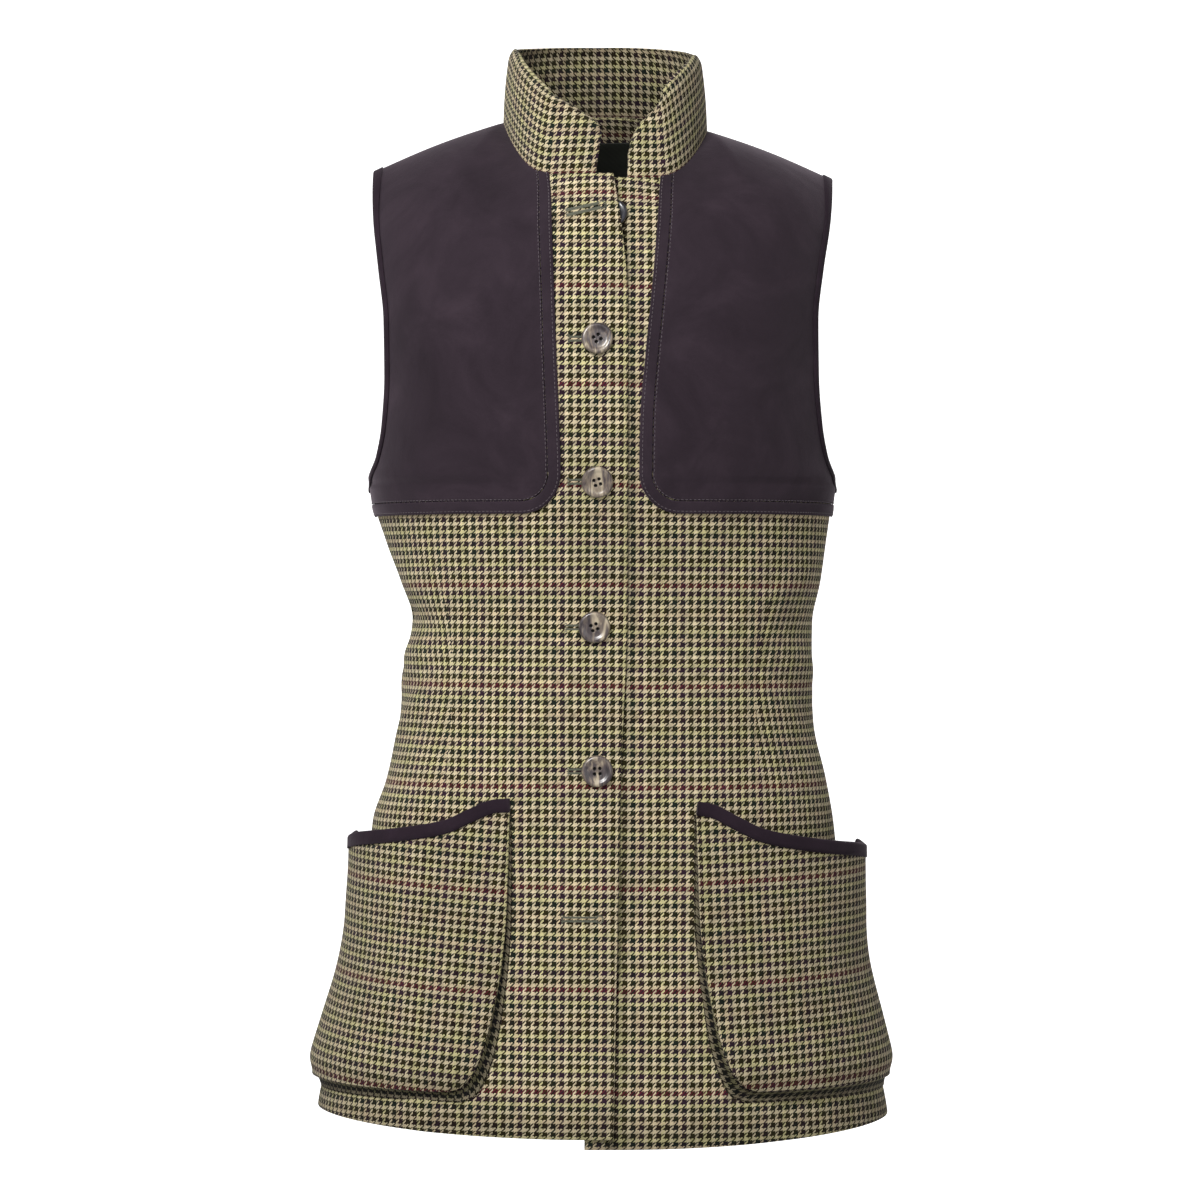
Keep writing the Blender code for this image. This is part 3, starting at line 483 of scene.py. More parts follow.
Level = namedtuple("Level", "z right left front back")
LEVELS = (
    Level(-725, 207.0, 207.0, 133, 135),
    Level(-700, 204.5, 204.0, 131, 133),
    Level(-670, 198.5, 197.5, 129, 131),
    Level(-640, 190.5, 189.5, 126, 128),
    Level(-600, 179.5, 179.0, 122, 124),
    Level(-567, 173.0, 173.5, 119, 119),
    Level(-530, 168.5, 169.0, 116, 114),
    Level(-496, 165.6, 165.6, 113, 108),
    Level(-467, 156.0, 160.5, 110, 103),
    Level(-425, 146.5, 151.5, 107, 97),
    Level(-390, 143.5, 150.0, 105, 92),
    Level(-352, 137.5, 151.0, 105, 90),
    Level(-324, 145.5, 156.5, 109, 92),
    Level(-295, 156.0, 160.5, 115, 97),
    Level(-266, 165.0, 164.5, 122, 103),
    Level(-215, 170.0, 170.0, 130, 111),
    Level(-160, 170.0, 170.0, 126, 117),
    Level(-110, 170.0, 170.0, 114, 115),
    Level(-60, 170.0, 170.0, 95, 106),
)
FULLNESS = 0.62  # handle length of each quarter section; 0.55 is an ellipse

Armhole = namedtuple("Armhole", "z right left front back turn")
ARMHOLES = (
    Armhole(-725, 0, 0, 0, 0, 90),
    Armhole(-258, 165.9, 165.2, 0, 0, 90),
    Armhole(-251, 164.0, 162.5, 24, 26, 80),
    Armhole(-238, 158.0, 156.5, 42, 46, 71),
    Armhole(-215, 153.0, 151.5, 54, 58, 65),
    Armhole(-180, 150.5, 148.5, 60, 64, 61),
    Armhole(-140, 151.0, 148.0, 61, 64, 60),
    Armhole(-104, 155.0, 152.0, 54, 57, 60),
    Armhole(-80, 158.0, 156.0, 45, 48, 60),
)
UNDERARM, CHEST = -258, -80

EdgePoint = namedtuple("EdgePoint", "z right_edge left_edge right_patch left_patch")
EDGES = (
    EdgePoint(-725, -6.9, -13.0, 29.0, 25.0),
    EdgePoint(-585, -9.7, -13.0, 29.0, 25.0),
    EdgePoint(-448, -13.0, -13.0, 29.0, 25.0),
    EdgePoint(-340, -17.3, -13.0, 29.0, 25.0),
    EdgePoint(-245, -17.3, -13.0, 29.0, 25.0),
    EdgePoint(-215, -17.3, -13.0, 30.0, 25.5),
    EdgePoint(-170, -17.3, -13.0, 32.0, 29.0),
    EdgePoint(-130, -17.3, -13.0, 33.5, 33.0),
    EdgePoint(-85, -13.5, -13.0, 35.0, 37.0),
    EdgePoint(-41, -7.0, -13.0, 36.5, 40.0),
)
print(len(LEVELS), "levels,", len(ARMHOLES), "armhole points")

# %% [markdown]
# Four helpers do the drawing: the curve through a table, a cubic between two points, a
# soft step, and a reader that looks up many rows at once by laying them end to end.

# %% Helpers for curves


def hermite(t, start, end, start_pull, end_pull):
    """Cubic from start to end with the given pulls at its two ends."""
    return (
        (2 * t**3 - 3 * t**2 + 1) * start
        + (t**3 - 2 * t**2 + t) * start_pull
        + (3 * t**2 - 2 * t**3) * end
        + (t**3 - t**2) * end_pull
    )


def smooth(x, table, column):
    """Monotone cubic through a table's column, read at x of the table's first column."""
    xs = np.array([row[0] for row in table], float)
    ys = np.array([getattr(row, column) for row in table], float)
    widths = np.diff(xs)
    rises = np.diff(ys) / widths
    slopes = np.concatenate([rises[:1], np.zeros(len(xs) - 2), rises[-1:]])
    agree = np.flatnonzero(rises[:-1] * rises[1:] > 0)
    slopes[agree + 1] = 2 / (1 / rises[agree] + 1 / rises[agree + 1])
    x = np.clip(np.asarray(x, float), xs[0], xs[-1])
    k = np.clip(np.searchsorted(xs, x) - 1, 0, len(widths) - 1)
    t = (x - xs[k]) / widths[k]
    return hermite(t, ys[k], ys[k + 1], slopes[k] * widths[k], slopes[k + 1] * widths[k])


def fade(x, full, end):
    """1 up to full, 0 from end on, with a soft step between."""
    t = np.clip((end - x) / (end - full), 0, 1)
    return t * t * (3 - 2 * t)


def unit(vectors):
    """Vectors at length 1."""
    return vectors / np.linalg.norm(vectors, axis=-1, keepdims=True)


def lengths(points, axis=0):
    """Distance along lines of points, from their start."""
    steps_taken = np.linalg.norm(np.diff(points, axis=axis), axis=-1)
    start = np.zeros_like(np.take(steps_taken, [0], axis=min(axis, steps_taken.ndim - 1)))
    return np.concatenate([start, np.cumsum(steps_taken, axis=axis)], axis=axis)


def read_rows(run, values, places):
    """Values of each row at its own places, with the rows laid end to end on one line."""
    shift = np.arange(len(run))[:, None] * (run.max() - run.min() + 1000.0)
    inside = np.clip(places, run[:, :1], run[:, -1:])
    found = np.interp((inside + shift).ravel(), (run + shift).ravel(), values.ravel())
    return found.reshape(places.shape)


# %% [markdown]
# A quarter of the torso's section is one cubic curve. It leaves the centre straight
# across and meets the side seam straight back, or the armhole at the armhole's own turn.
# All heights are worked out together: a height is a row of the array, a place along the
# curve is a column.

# %% The torso's section
CURVE_SAMPLES = 321


def quarter(side, z, back=False):
    """Rows of x out and depth y along one quarter section, for many heights at once.

    Cubic Bezier: the corners weighted by (1-t)^3, 3t(1-t)^2, 3t^2(1-t) and t^3.
    """
    z = np.asarray(z, float)[:, None]
    facing = "back" if back else "front"
    on_armhole = z > UNDERARM
    out_x = np.where(on_armhole, smooth(z, ARMHOLES, WORD[side]), smooth(z, LEVELS, WORD[side]))
    out_y = np.where(on_armhole, smooth(z, ARMHOLES, facing), 0.0)
    turn = np.radians(np.where(on_armhole, smooth(z, ARMHOLES, "turn"), 90.0))
    depth = smooth(z, LEVELS, facing)
    reach = FULLNESS * (depth - out_y)
    t = np.linspace(0, 1, CURVE_SAMPLES)[None]
    weights = ((1 - t) ** 3, 3 * t * (1 - t) ** 2, 3 * t**2 * (1 - t), t**3)
    xs = (0 * out_x, FULLNESS * out_x, out_x - reach / np.tan(turn), out_x)
    ys = (depth, depth, out_y + reach, out_y)
    x = sum(weight * corner for weight, corner in zip(weights, xs))
    y = sum(weight * corner for weight, corner in zip(weights, ys))
    return np.stack([x, y], axis=-1)


# %% [markdown]
# A front is laid out in columns: four from its edge to the line of the patch, one under
# the patch's edge strip, four to the dart and five to the side seam. The same columns run
# up to the neckline and the shoulder seam, where a cubic takes the cloth over the chest.

# %% Layout of the panels
STAND, STRIP, DART, FRONT_SIDE = 4.0, 5.0, 9.0, 14.0  # columns of the front's lines
BACK_NECK_COLUMN, BACK_SIDE = 4.0, 9.0
EDGE_STRIP = 9.0
CELL = 3.2
ROWS = np.concatenate(
    [np.arange(-705, -260, CELL), np.arange(-260, -241, 1.0), np.arange(-240, -81, CELL), [CHEST]]
)
BELOW_CHEST = np.array([-104.0])  # the yoke leaves the chest in the direction from this height
YOKE = np.linspace(0, 1, 29)[1:]
HEM_RISE_END = -672.0  # the hem's drop has faded out at this height
HEM_DROP = {RIGHT: (5, -5), LEFT: (12, 1)}  # below the lowest row: centre front, side seam
HEM_CURVE = 2.2
DartPoint = namedtuple("DartPoint", "z column intake")
DART_LINE = (
    DartPoint(-725, 9.0, 0),
    DartPoint(-470, 9.0, 0),
    DartPoint(-459, 9.0, 1),
    DartPoint(-395, 9.1, 12),
    DartPoint(-324, 9.6, 0.5),
    DartPoint(-316, 9.6, 0),
    DartPoint(-278, 9.6, 0),
    DartPoint(-180, 9.4, 0),
    DartPoint(-80, 9.0, 0),
)
NECK_POINT = {RIGHT: (71.3, 0.0, 4.0), LEFT: (74.5, 0.0, -2.0)}
SHOULDER_TIP = {RIGHT: (161.0, 8.0, -29.0), LEFT: (161.0, 8.0, -34.5)}
SHOULDER_BOW = 2.0
FRONT_NECK = (-85.0, -41.0)  # y and z of the centre front neck
FRONT_NECK_CORNER_Y = -78.0
BACK_NECK = (57.0, 16.0)
NECK_CURVE = (1.4, 1.75)  # how soon the front neckline turns back and rises
NECK_TURNS = (0, 14, 33, 52, 71, 90)  # degrees round that rise, at its columns
STAND_ROLL, BACK_ROLL, SHOULDER_ROLL = 22, 32, 82  # degrees that the cloth leans back at the top edge
print(len(ROWS) + len(YOKE), "rows to a panel")


def front_places(side, z, column):
    """Distance round from the centre front of each column, for many heights at once."""
    line = quarter(side, z)
    run = lengths(line, axis=1)
    edge = smooth(z, EDGES, WORD[side] + "_edge")[:, None]
    patch = smooth(z, EDGES, WORD[side] + "_patch")[:, None]
    x = edge + (patch - edge) * np.clip(column, 0, STAND) / STAND
    near = np.sign(x) * read_rows(line[..., 0], run, np.abs(x))
    patch_place = read_rows(line[..., 0], run, patch)
    rest = run[:, -1:] - patch_place - EDGE_STRIP
    on_strip = EDGE_STRIP * np.clip(column - STAND, 0, 1)
    beyond = rest * np.clip(column - STRIP, 0, None) / (FRONT_SIDE - STRIP)
    return np.where(column <= STAND, near, patch_place + on_strip + beyond)


def place_points(side, z, places, back=False):
    """Points of the section at signed distances from its centre; the curve is mirrored past it."""
    line = quarter(side, z, back)
    run = lengths(line, axis=1)
    x = np.sign(places) * read_rows(run, line[..., 0], np.abs(places))
    y = read_rows(run, line[..., 1], np.abs(places))
    facing = 1 if back else -1
    return np.stack([x, facing * y, np.broadcast_to(np.asarray(z)[:, None], x.shape)], axis=-1)


def shoulder_seam(side, t):
    """Points from the neck point to the shoulder tip, on a line bowed upwards."""
    t = np.asarray(t)[:, None]
    points = (1 - t) * np.array(NECK_POINT[side]) + t * np.array(SHOULDER_TIP[side])
    points[:, 2:] += SHOULDER_BOW * np.sin(np.pi * t)
    return points


def front_top(side, column):
    """A front's top edge: level neckline, its rise to the neck point, and the shoulder seam."""
    edge = getattr(EDGES[-1], WORD[side] + "_edge")
    patch = getattr(EDGES[-1], WORD[side] + "_patch")
    neck_y, neck_z = FRONT_NECK
    neck_out, _, neck_height = NECK_POINT[side]
    x = edge + (patch - edge) * np.clip(column, 0, STAND) / STAND
    level_y = neck_y + (FRONT_NECK_CORNER_Y - neck_y) * (x / patch) ** 2
    level = np.column_stack([x, level_y, np.full(len(x), neck_z)])
    turn = np.radians(np.interp(column, np.arange(STAND, DART + 1), NECK_TURNS))
    back_power, rise_power = NECK_CURVE
    cosine = np.clip(np.cos(turn), 0, 1)
    rise = np.column_stack(
        [
            patch + (neck_out - patch) * np.sin(turn),
            FRONT_NECK_CORNER_Y * cosine**back_power,
            neck_height + (neck_z - neck_height) * cosine**rise_power,
        ]
    )
    seam = shoulder_seam(side, np.clip((column - DART) / (FRONT_SIDE - DART), 0, 1))
    points = np.where((column <= STAND)[:, None], level, rise)
    return np.where((column > DART)[:, None], seam, points)


def back_top(side, column):
    """Half of the back's top edge: neckline from the centre back, then the shoulder seam."""
    neck_y, neck_z = BACK_NECK
    neck_out, _, neck_height = NECK_POINT[side]
    turn = np.pi / 2 * (1 - np.clip(column / BACK_NECK_COLUMN, 0, 1))
    rise = neck_height + (neck_z - neck_height) * np.sin(turn)
    neck = np.column_stack([neck_out * np.cos(turn), neck_y * np.sin(turn), rise])
    along = (column - BACK_NECK_COLUMN) / (BACK_SIDE - BACK_NECK_COLUMN)
    seam = shoulder_seam(side, np.clip(along, 0, 1))
    return np.where((column > BACK_NECK_COLUMN)[:, None], seam, neck)


def over_shoulder(below, chest, top, roll):
    """Rows above the chest: a cubic from the chest row that arrives leaning back by its roll."""
    start_way = unit(chest - below)
    chord = top - chest
    reach = np.linalg.norm(chord, axis=1, keepdims=True)
    lean = np.radians(roll)[:, None]
    facing = np.sign(-chest[:, 1:2])
    end_way = unit(np.hstack([chord[:, :1] / reach, facing * np.sin(lean), np.cos(lean)]))
    return hermite(YOKE[:, None, None], chest, top, reach * start_way, reach * end_way)


# %% [markdown]
# Worn tweed is thick and springy. It shows few folds, and those are broad and shallow:
# soft drags from the waist towards the side seams, a break above each pocket, and a slight
# wave down the lapped edge. A simulation would give the same kind of fold in other places
# every time, so each one is listed, as a long dimple or ridge with its own length,
# width, lean and depth. The hidden back gets the same kind of folds.

# %% Folds
Fold = namedtuple("Fold", "place z length width lean depth")
FRONT_FOLDS = {
    RIGHT: (
        Fold(168, -352, 46, 9, 14, -2.6),
        Fold(172, -374, 52, 8, -8, 2.0),
        Fold(160, -398, 44, 9, -20, -2.0),
        Fold(176, -426, 38, 9, -34, 1.6),
        Fold(150, -330, 52, 11, 30, 1.6),
        Fold(96, -290, 60, 16, 58, -1.2),
        Fold(60, -448, 60, 15, -64, 1.2),
        Fold(34, -520, 90, 16, 84, -1.3),
        Fold(52, -620, 70, 20, 80, 1.5),
        Fold(18, -300, 110, 13, 87, 1.0),
        Fold(128, -690, 60, 14, 70, 1.6),
    ),
    LEFT: (
        Fold(170, -360, 44, 9, 10, -1.8),
        Fold(176, -384, 48, 9, -14, 1.6),
        Fold(162, -410, 46, 10, -26, -1.8),
        Fold(148, -326, 50, 12, 34, 1.4),
        Fold(100, -296, 56, 15, 60, -1.3),
        Fold(62, -456, 64, 15, -66, 1.3),
        Fold(36, -540, 90, 18, 82, -1.5),
        Fold(56, -632, 66, 19, 82, 1.8),
        Fold(30, -330, 100, 12, 88, 1.2),
        Fold(134, -688, 60, 14, 72, -1.4),
    ),
}
BACK_FOLDS = (
    Fold(-150, -356, 60, 11, -12, -2.4),
    Fold(-140, -388, 66, 11, 8, 2.2),
    Fold(-128, -420, 56, 12, 24, -1.8),
    Fold(146, -362, 58, 11, 14, -2.2),
    Fold(136, -394, 62, 12, -6, 2.0),
    Fold(120, -430, 58, 12, -22, -1.8),
    Fold(-30, -560, 110, 22, 84, 1.8),
    Fold(38, -590, 100, 22, 95, -1.8),
    Fold(-84, -200, 80, 20, 62, -1.6),
    Fold(88, -196, 80, 20, -62, -1.6),
    Fold(4, -120, 60, 16, 4, 1.4),
    Fold(90, -640, 70, 18, 80, 2.0),
    Fold(-96, -650, 70, 18, 100, 2.0),
)


def fold_height(folds, place, z):
    """Sum of the folds: each falls off as exp(-a^2) along its length and across its width."""
    height = np.zeros(np.broadcast(place, z).shape)
    for fold in folds:
        lean = np.radians(fold.lean)
        right, up = place - fold.place, z - fold.z
        along_fold = right * np.cos(lean) + up * np.sin(lean)
        across_fold = up * np.cos(lean) - right * np.sin(lean)
        away = (along_fold / fold.length) ** 2 + (across_fold / fold.width) ** 2
        height += fold.depth * np.exp(-away)
    return height


# %% [markdown]
# A panel keeps three grids: its points, its normals and its place on the flat cloth. A
# piece that lies on the panel asks for points by row and by a measure along the row, such
# as the distance from the patch line, and moves them out along the normals.

# %% Panels


class Panel:
    """A grid of outer points, row by row from the hem, with normals and places on the cloth."""

    def __init__(self, points, hint):
        self.points = points
        self.hint = hint
        self.measures = {}
        self.set_normals()

    def set_normals(self):
        """Normals square to the grid's two directions, turned to the hint's side."""
        along_row = np.gradient(self.points, axis=1)
        up_column = np.gradient(self.points, axis=0)
        normals = unit(np.cross(along_row, up_column))
        self.normals = normals * np.sign(np.sum(normals * self.hint, axis=-1, keepdims=True))

    def lift(self, amount):
        """Move the outer points along their normals."""
        self.points = self.points + np.asarray(amount)[..., None] * self.normals

    def row_at(self, z):
        """Row of a height below the chest."""
        return np.interp(z, ROWS, np.arange(len(ROWS)))

    def at(self, row, value, measure):
        """Point and normal at a row and at a value of a measure along that row."""
        row, value = np.broadcast_arrays(np.asarray(row, float), np.asarray(value, float))
        table = self.measures[measure]
        low = np.clip(row.astype(int), 0, len(table) - 2)
        spread = table.max() - table.min() + 1000.0
        shifted = (table + spread * np.arange(len(table))[:, None]).ravel()
        counts = np.tile(np.arange(table.shape[1], dtype=float), len(table))
        share = (row - low)[..., None]
        found = []
        for grid in (self.points, self.normals):
            pair = []
            for r in (low, low + 1):
                inside = np.clip(value, table[r, 0], table[r, -1])
                column = np.interp(inside + spread * r, shifted, counts)
                c = np.clip(column.astype(int), 0, table.shape[1] - 2)
                t = (column - c)[..., None]
                pair.append((1 - t) * grid[r, c] + t * grid[r, c + 1])
            found.append((1 - share) * pair[0] + share * pair[1])
        return found[0], unit(found[1])


def outward_hint(points):
    """Rough outward directions: away from the torso's axis, and up over the shoulders."""
    over = np.clip((points[..., 2:] - CHEST + 60) / 100, 0, 1)
    return points * (1, 1, 0) + 250 * over * np.array([0, 0, 1.0])


def drop_hem(points, centre, side, width):
    """Lower the hem's rows by an amount at the centre and another at the side seam."""
    out = np.clip(np.abs(points[..., 0]) / width, 0, 1)
    drop = centre + (side - centre) * out**HEM_CURVE
    points[..., 2] -= drop * np.clip((HEM_RISE_END - points[..., 2]) / (HEM_RISE_END - ROWS[0]), 0, 1)


def level_seams(panel, edge, shoulder, shift):
    """Part the side and shoulder seams, and turn both of their sides the same way."""
    seam_rows = int(np.flatnonzero(ROWS == UNDERARM)[0]) + 1
    panel.points[:seam_rows, edge, 1] += shift
    panel.normals[:seam_rows, edge, 1] = 0
    panel.points[-1, shoulder, 1] += shift
    panel.normals[-1, shoulder, 1] = 0
    panel.normals = unit(panel.normals)


def cloth_height(points, column):
    """Length of cloth up from the origin's height, along one column of the panel."""
    line = points[: len(ROWS), column]
    run = lengths(line)
    return lambda z: np.interp(z, line[:, 2], run - run[-1] + CHEST)


def set_flat(panel, start, height_of):
    """Places on the flat cloth: along the rows from start, and up by height, then up the yoke."""
    along_row = start + lengths(panel.points, axis=1)
    up = height_of(panel.points[..., 2])
    last = len(ROWS) - 1
    yoke_run = lengths(panel.points[last:], axis=0)
    up[last:] = up[last] + yoke_run
    panel.flat = np.stack([along_row, up], axis=-1)


# %% The two fronts and the back
STAND_CELLS, MIDDLE_CELLS, SIDE_CELLS, BACK_CELLS = 14, 26, 28, 63


def front_columns(z):
    """Columns of a front's grid at each height, with one grid line on the dart."""
    dart = smooth(z, DART_LINE, "column")[:, None]
    ones = np.ones_like(dart)
    stand = ones * np.linspace(0, STAND, STAND_CELLS + 1)
    middle = STAND + (dart - STAND) * np.linspace(0, 1, MIDDLE_CELLS + 1)[1:]
    outer = dart + (FRONT_SIDE - dart) * np.linspace(0, 1, SIDE_CELLS + 1)[1:]
    return np.hstack([stand, middle, outer])


Button = namedtuple("Button", "x z under")
BUTTONS = (
    Button(6.0, -69, True),
    Button(-4.0, -158, False),
    Button(-4.0, -256, False),
    Button(-6.0, -357, False),
    Button(-4.0, -457, False),
    Button(-4.0, -559, True),
)


def front_panel(side):
    """One front, folded, with its stand lapped over or under the other."""
    column = front_columns(ROWS)
    places = front_places(side, ROWS, column)
    rows = place_points(side, ROWS, places)
    width = rows[:, -1:, 0]
    drop_hem(rows, *HEM_DROP[side], width)
    top_column = column[-1]
    below_places = front_places(side, BELOW_CHEST, top_column[None])
    below = place_points(side, BELOW_CHEST, below_places)[0]
    roll = np.interp(top_column, (STAND, DART), (STAND_ROLL, SHOULDER_ROLL))
    yoke = over_shoulder(below, rows[-1], front_top(side, top_column), roll)
    points = np.concatenate([rows, yoke])
    near = fade(points[..., 0] - points[:, :1, 0], LAP_FULL, LAP_END)
    points[..., 0] *= side
    panel = Panel(points, outward_hint(points))
    level_seams(panel, -1, slice(STAND_CELLS + MIDDLE_CELLS, None), SEAM_OVERLAP / 2)
    all_columns = np.vstack([column, np.tile(top_column, (len(YOKE), 1))])
    all_places = np.vstack([places, np.tile(places[-1], (len(YOKE), 1))])
    height = fold_height(FRONT_FOLDS[side], all_places, points[..., 2])
    height[:, -1] = 0
    dart = STAND_CELLS + MIDDLE_CELLS
    height[: len(ROWS), dart] -= 0.05 * smooth(ROWS, DART_LINE, "intake")
    lap = np.full(height.shape, LAP)
    if side == RIGHT:
        for button in BUTTONS:
            if button.under:
                lap += BUTTON_ROOM * np.exp(-(((points[..., 2] - button.z) / BUTTON_ROOM_LENGTH) ** 4))
    panel.lift(height - side * near * lap)
    set_flat(panel, panel.points[:, :1, 0] * side, cloth_height(panel.points, STAND_CELLS))
    panel.measures["column"] = all_columns
    run = lengths(panel.points, axis=1)
    panel.measures["reach"] = run - run[:, STAND_CELLS : STAND_CELLS + 1]
    panel.measures["x"] = panel.points[..., 0] * side
    return panel


def back_half(side):
    """Half of the back, from its centre to the side seam."""
    column = np.linspace(0, BACK_SIDE, BACK_CELLS + 1)
    run_end = lengths(quarter(side, ROWS, back=True), axis=1)[:, -1:]
    rows = place_points(side, ROWS, run_end * column / BACK_SIDE, back=True)
    drop_hem(rows, 0, HEM_DROP[side][1], rows[:, -1:, 0])
    below_end = lengths(quarter(side, BELOW_CHEST, back=True), axis=1)[:, -1:]
    below = place_points(side, BELOW_CHEST, below_end * column / BACK_SIDE, back=True)[0]
    roll = np.interp(column, (0, BACK_NECK_COLUMN), (BACK_ROLL, SHOULDER_ROLL))
    yoke = over_shoulder(below, rows[-1], back_top(side, column), roll)
    half = np.concatenate([rows, yoke])
    half[..., 0] *= side
    return half


def back_panel():
    """The whole back, made of two halves that meet at the centre."""
    points = np.concatenate([back_half(RIGHT)[:, :0:-1], back_half(LEFT)], axis=1)
    panel = Panel(points, outward_hint(points))
    neck = round(BACK_CELLS * BACK_NECK_COLUMN / BACK_SIDE)
    level_seams(panel, 0, slice(0, BACK_CELLS - neck + 1), -SEAM_OVERLAP / 2)
    level_seams(panel, -1, slice(BACK_CELLS + neck, None), -SEAM_OVERLAP / 2)
    run = lengths(points, axis=1)
    signed = run - run[:, BACK_CELLS : BACK_CELLS + 1]
    height = fold_height(BACK_FOLDS, signed, points[..., 2])
    height[:, [0, -1]] = 0
    panel.lift(height)
    set_flat(panel, -run[:, BACK_CELLS : BACK_CELLS + 1], cloth_height(panel.points, BACK_CELLS))
    column = np.linspace(-BACK_SIDE, BACK_SIDE, 2 * BACK_CELLS + 1)
    panel.measures["column"] = np.tile(column, (len(points), 1))
    return panel


fronts = {side: front_panel(side) for side in (RIGHT, LEFT)}
back = back_panel()
print("front grid", fronts[RIGHT].points.shape, "back grid", back.points.shape)

# %% [markdown]
# A sheet becomes a piece of cloth when it gets a wall and a folded edge. Solidify would
# give the wall, but its edge is cut square, and cloth turns round at a hem. So the wall is
# built here: the outer grid, the inner grid and, between them, a half circle of short
# faces round the rim. The rim carries the flat places on, so the check turns the edge too.

# %% Helpers for walls
RIM_STEPS = 3


def rim_loops(rows, columns, wrap):
    """The grid's rim as loops of indices, each with the indices one cell further in."""
    index = np.arange(rows * columns).reshape(rows, columns)
    if wrap:
        return [(index[0], index[1]), (index[-1][::-1], index[-2][::-1])]
    inner_rows = np.clip(np.arange(rows), 1, rows - 2)
    inner_columns = np.clip(np.arange(columns), 1, columns - 2)
    inside = index[np.ix_(inner_rows, inner_columns)]

    def ring(grid):
        return np.concatenate([grid[0, :-1], grid[:-1, -1], grid[-1, :0:-1], grid[:0:-1, 0]])

    return [(ring(index), ring(inside))]


def wall(outer, inner, flat, wrap=False, split=None, facing=None):
    """Vertices, quads, flat places and finish numbers of a sheet with a wall and a round rim.

    Rim: middle of the wall, plus half the wall times cos and sin of a turn from 0 to 180.
    """
    rows, columns = outer.shape[:2]
    count = rows * columns
    outer, inner = outer.reshape(-1, 3).copy(), inner.reshape(-1, 3).copy()
    places = np.vstack([flat.reshape(-1, 2)] * 2)
    loops = rim_loops(rows, columns, wrap)
    rim_points, rim_places = [], []
    for edge, inside in loops:
        half = np.linalg.norm(outer[edge] - inner[edge], axis=1, keepdims=True) / 2
        away = unit(outer[edge] - outer[inside])
        flat_away = unit(places[edge] - places[inside] + 1e-9)
        outer[edge] -= half * away
        inner[edge] -= half * away
        middle, arm = (outer[edge] + inner[edge]) / 2, (outer[edge] - inner[edge]) / 2
        for turn in np.pi * np.arange(1, RIM_STEPS + 1) / (RIM_STEPS + 1):
            rim_points.append(middle + np.cos(turn) * arm + np.sin(turn) * half * away)
            rim_places.append(places[edge] + turn * half * flat_away)
    index = np.arange(count).reshape(rows, columns)
    last = columns if wrap else columns - 1
    right = np.roll(index, -1, axis=1)
    corners = (index[:-1, :last], right[:-1, :last], right[1:, :last], index[1:, :last])
    front = np.stack([corner.ravel() for corner in corners], axis=1)
    cell_column = np.tile(np.arange(last), rows - 1)
    quads, at = [front, front[:, ::-1] + count], 2 * count
    for edge, _ in loops:
        rings = [at + k * len(edge) + np.arange(len(edge)) for k in range(RIM_STEPS)]
        chain = [edge, *rings, edge + count]
        at += RIM_STEPS * len(edge)
        for near, far in zip(chain, chain[1:]):
            quads.append(np.column_stack([np.roll(near, -1), near, far, np.roll(far, -1)]))
    finish = np.zeros(sum(map(len, quads)), int)
    finish[len(front) : 2 * len(front)] = 1 if facing is None else cell_column >= facing
    quads = np.vstack(quads)
    places = np.vstack([places, *rim_places])
    loop_places = places[quads]
    if split is not None:
        start, shift = split
        beyond = np.tile(cell_column >= start, 2)
        body = quads[: 2 * len(front)]
        loop_places[: 2 * len(front), :, 0] += beyond[:, None] * shift[(body % count) // columns]
    return np.vstack([outer, inner, *rim_points]), quads, loop_places, finish


def add_piece(name, node_name, slot, points, quads, places, finishes, finish_numbers=None):
    """An object in metres with its faces turned outwards, riding on the vest."""
    corners = points[quads]
    fan = np.cross(corners[:, 1], corners[:, 2]) + np.cross(corners[:, 2], corners[:, 3])
    if np.sum(corners[:, 0] * fan) < 0:
        quads, places = quads[:, ::-1], places[:, ::-1]
    mesh = bpy.data.meshes.new(name)
    mesh.from_pydata((points * MM).tolist(), [], quads.tolist())
    mesh.uv_layers.new(name="cut").data.foreach_set("uv", (places * MM).astype(np.float32).ravel())
    for finish in finishes:
        mesh.materials.append(finish)
    if finish_numbers is not None:
        numbers = np.minimum(finish_numbers, len(finishes) - 1).astype(np.int32)
        mesh.polygons.foreach_set("material_index", numbers)
    mesh.shade_smooth()
    piece = bpy.data.objects.new(name, mesh)
    bpy.context.collection.objects.link(piece)
    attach(piece, "root")
    if node_name:
        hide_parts(node_name)
    return piece


TURN_IN = 0.002  # what the cut edges take up where they turn into the wall
LEAST_FILLED = 0.31  # the least share of its rectangle that a cut shape fills


def declare_sheet(piece, points):
    """Work out a cut sheet's widest row, its longest column and its flat area, in metres, and print
    them.
    """
    along_row = lengths(points, axis=1)[:, -1].max() * MM + TURN_IN
    up_column = lengths(points, axis=0)[-1].max() * MM + TURN_IN
    first, second = points[1:, 1:] - points[:-1, :-1], points[1:, :-1] - points[:-1, 1:]
    area = np.linalg.norm(np.cross(first, second), axis=-1).sum() / 2 * MM**2
    area = float(np.clip(area, LEAST_FILLED * along_row * up_column, along_row * up_column))
    print(piece.name, "cut", round(along_row, 3), "x", round(up_column, 3), "m, area", round(area, 4))


# %% [markdown]
# The flat places start the check at the same yarn on every panel, so the bands meet at the
# seams. A wine red band lies a little below the third button.

# %% The tweed panels
WINE_HEIGHT = -326.0
wine_place = fronts[RIGHT].flat[int(fronts[RIGHT].row_at(WINE_HEIGHT)), STAND_CELLS, 1]
SHIFT = 1.3  # how far the upright yarns are moved, for cloth that isn't named next
PANEL_SHIFT = {"front_right": 0.8, "front_left": 4.4, "back": 0.0, "pocket_right": 1.6}


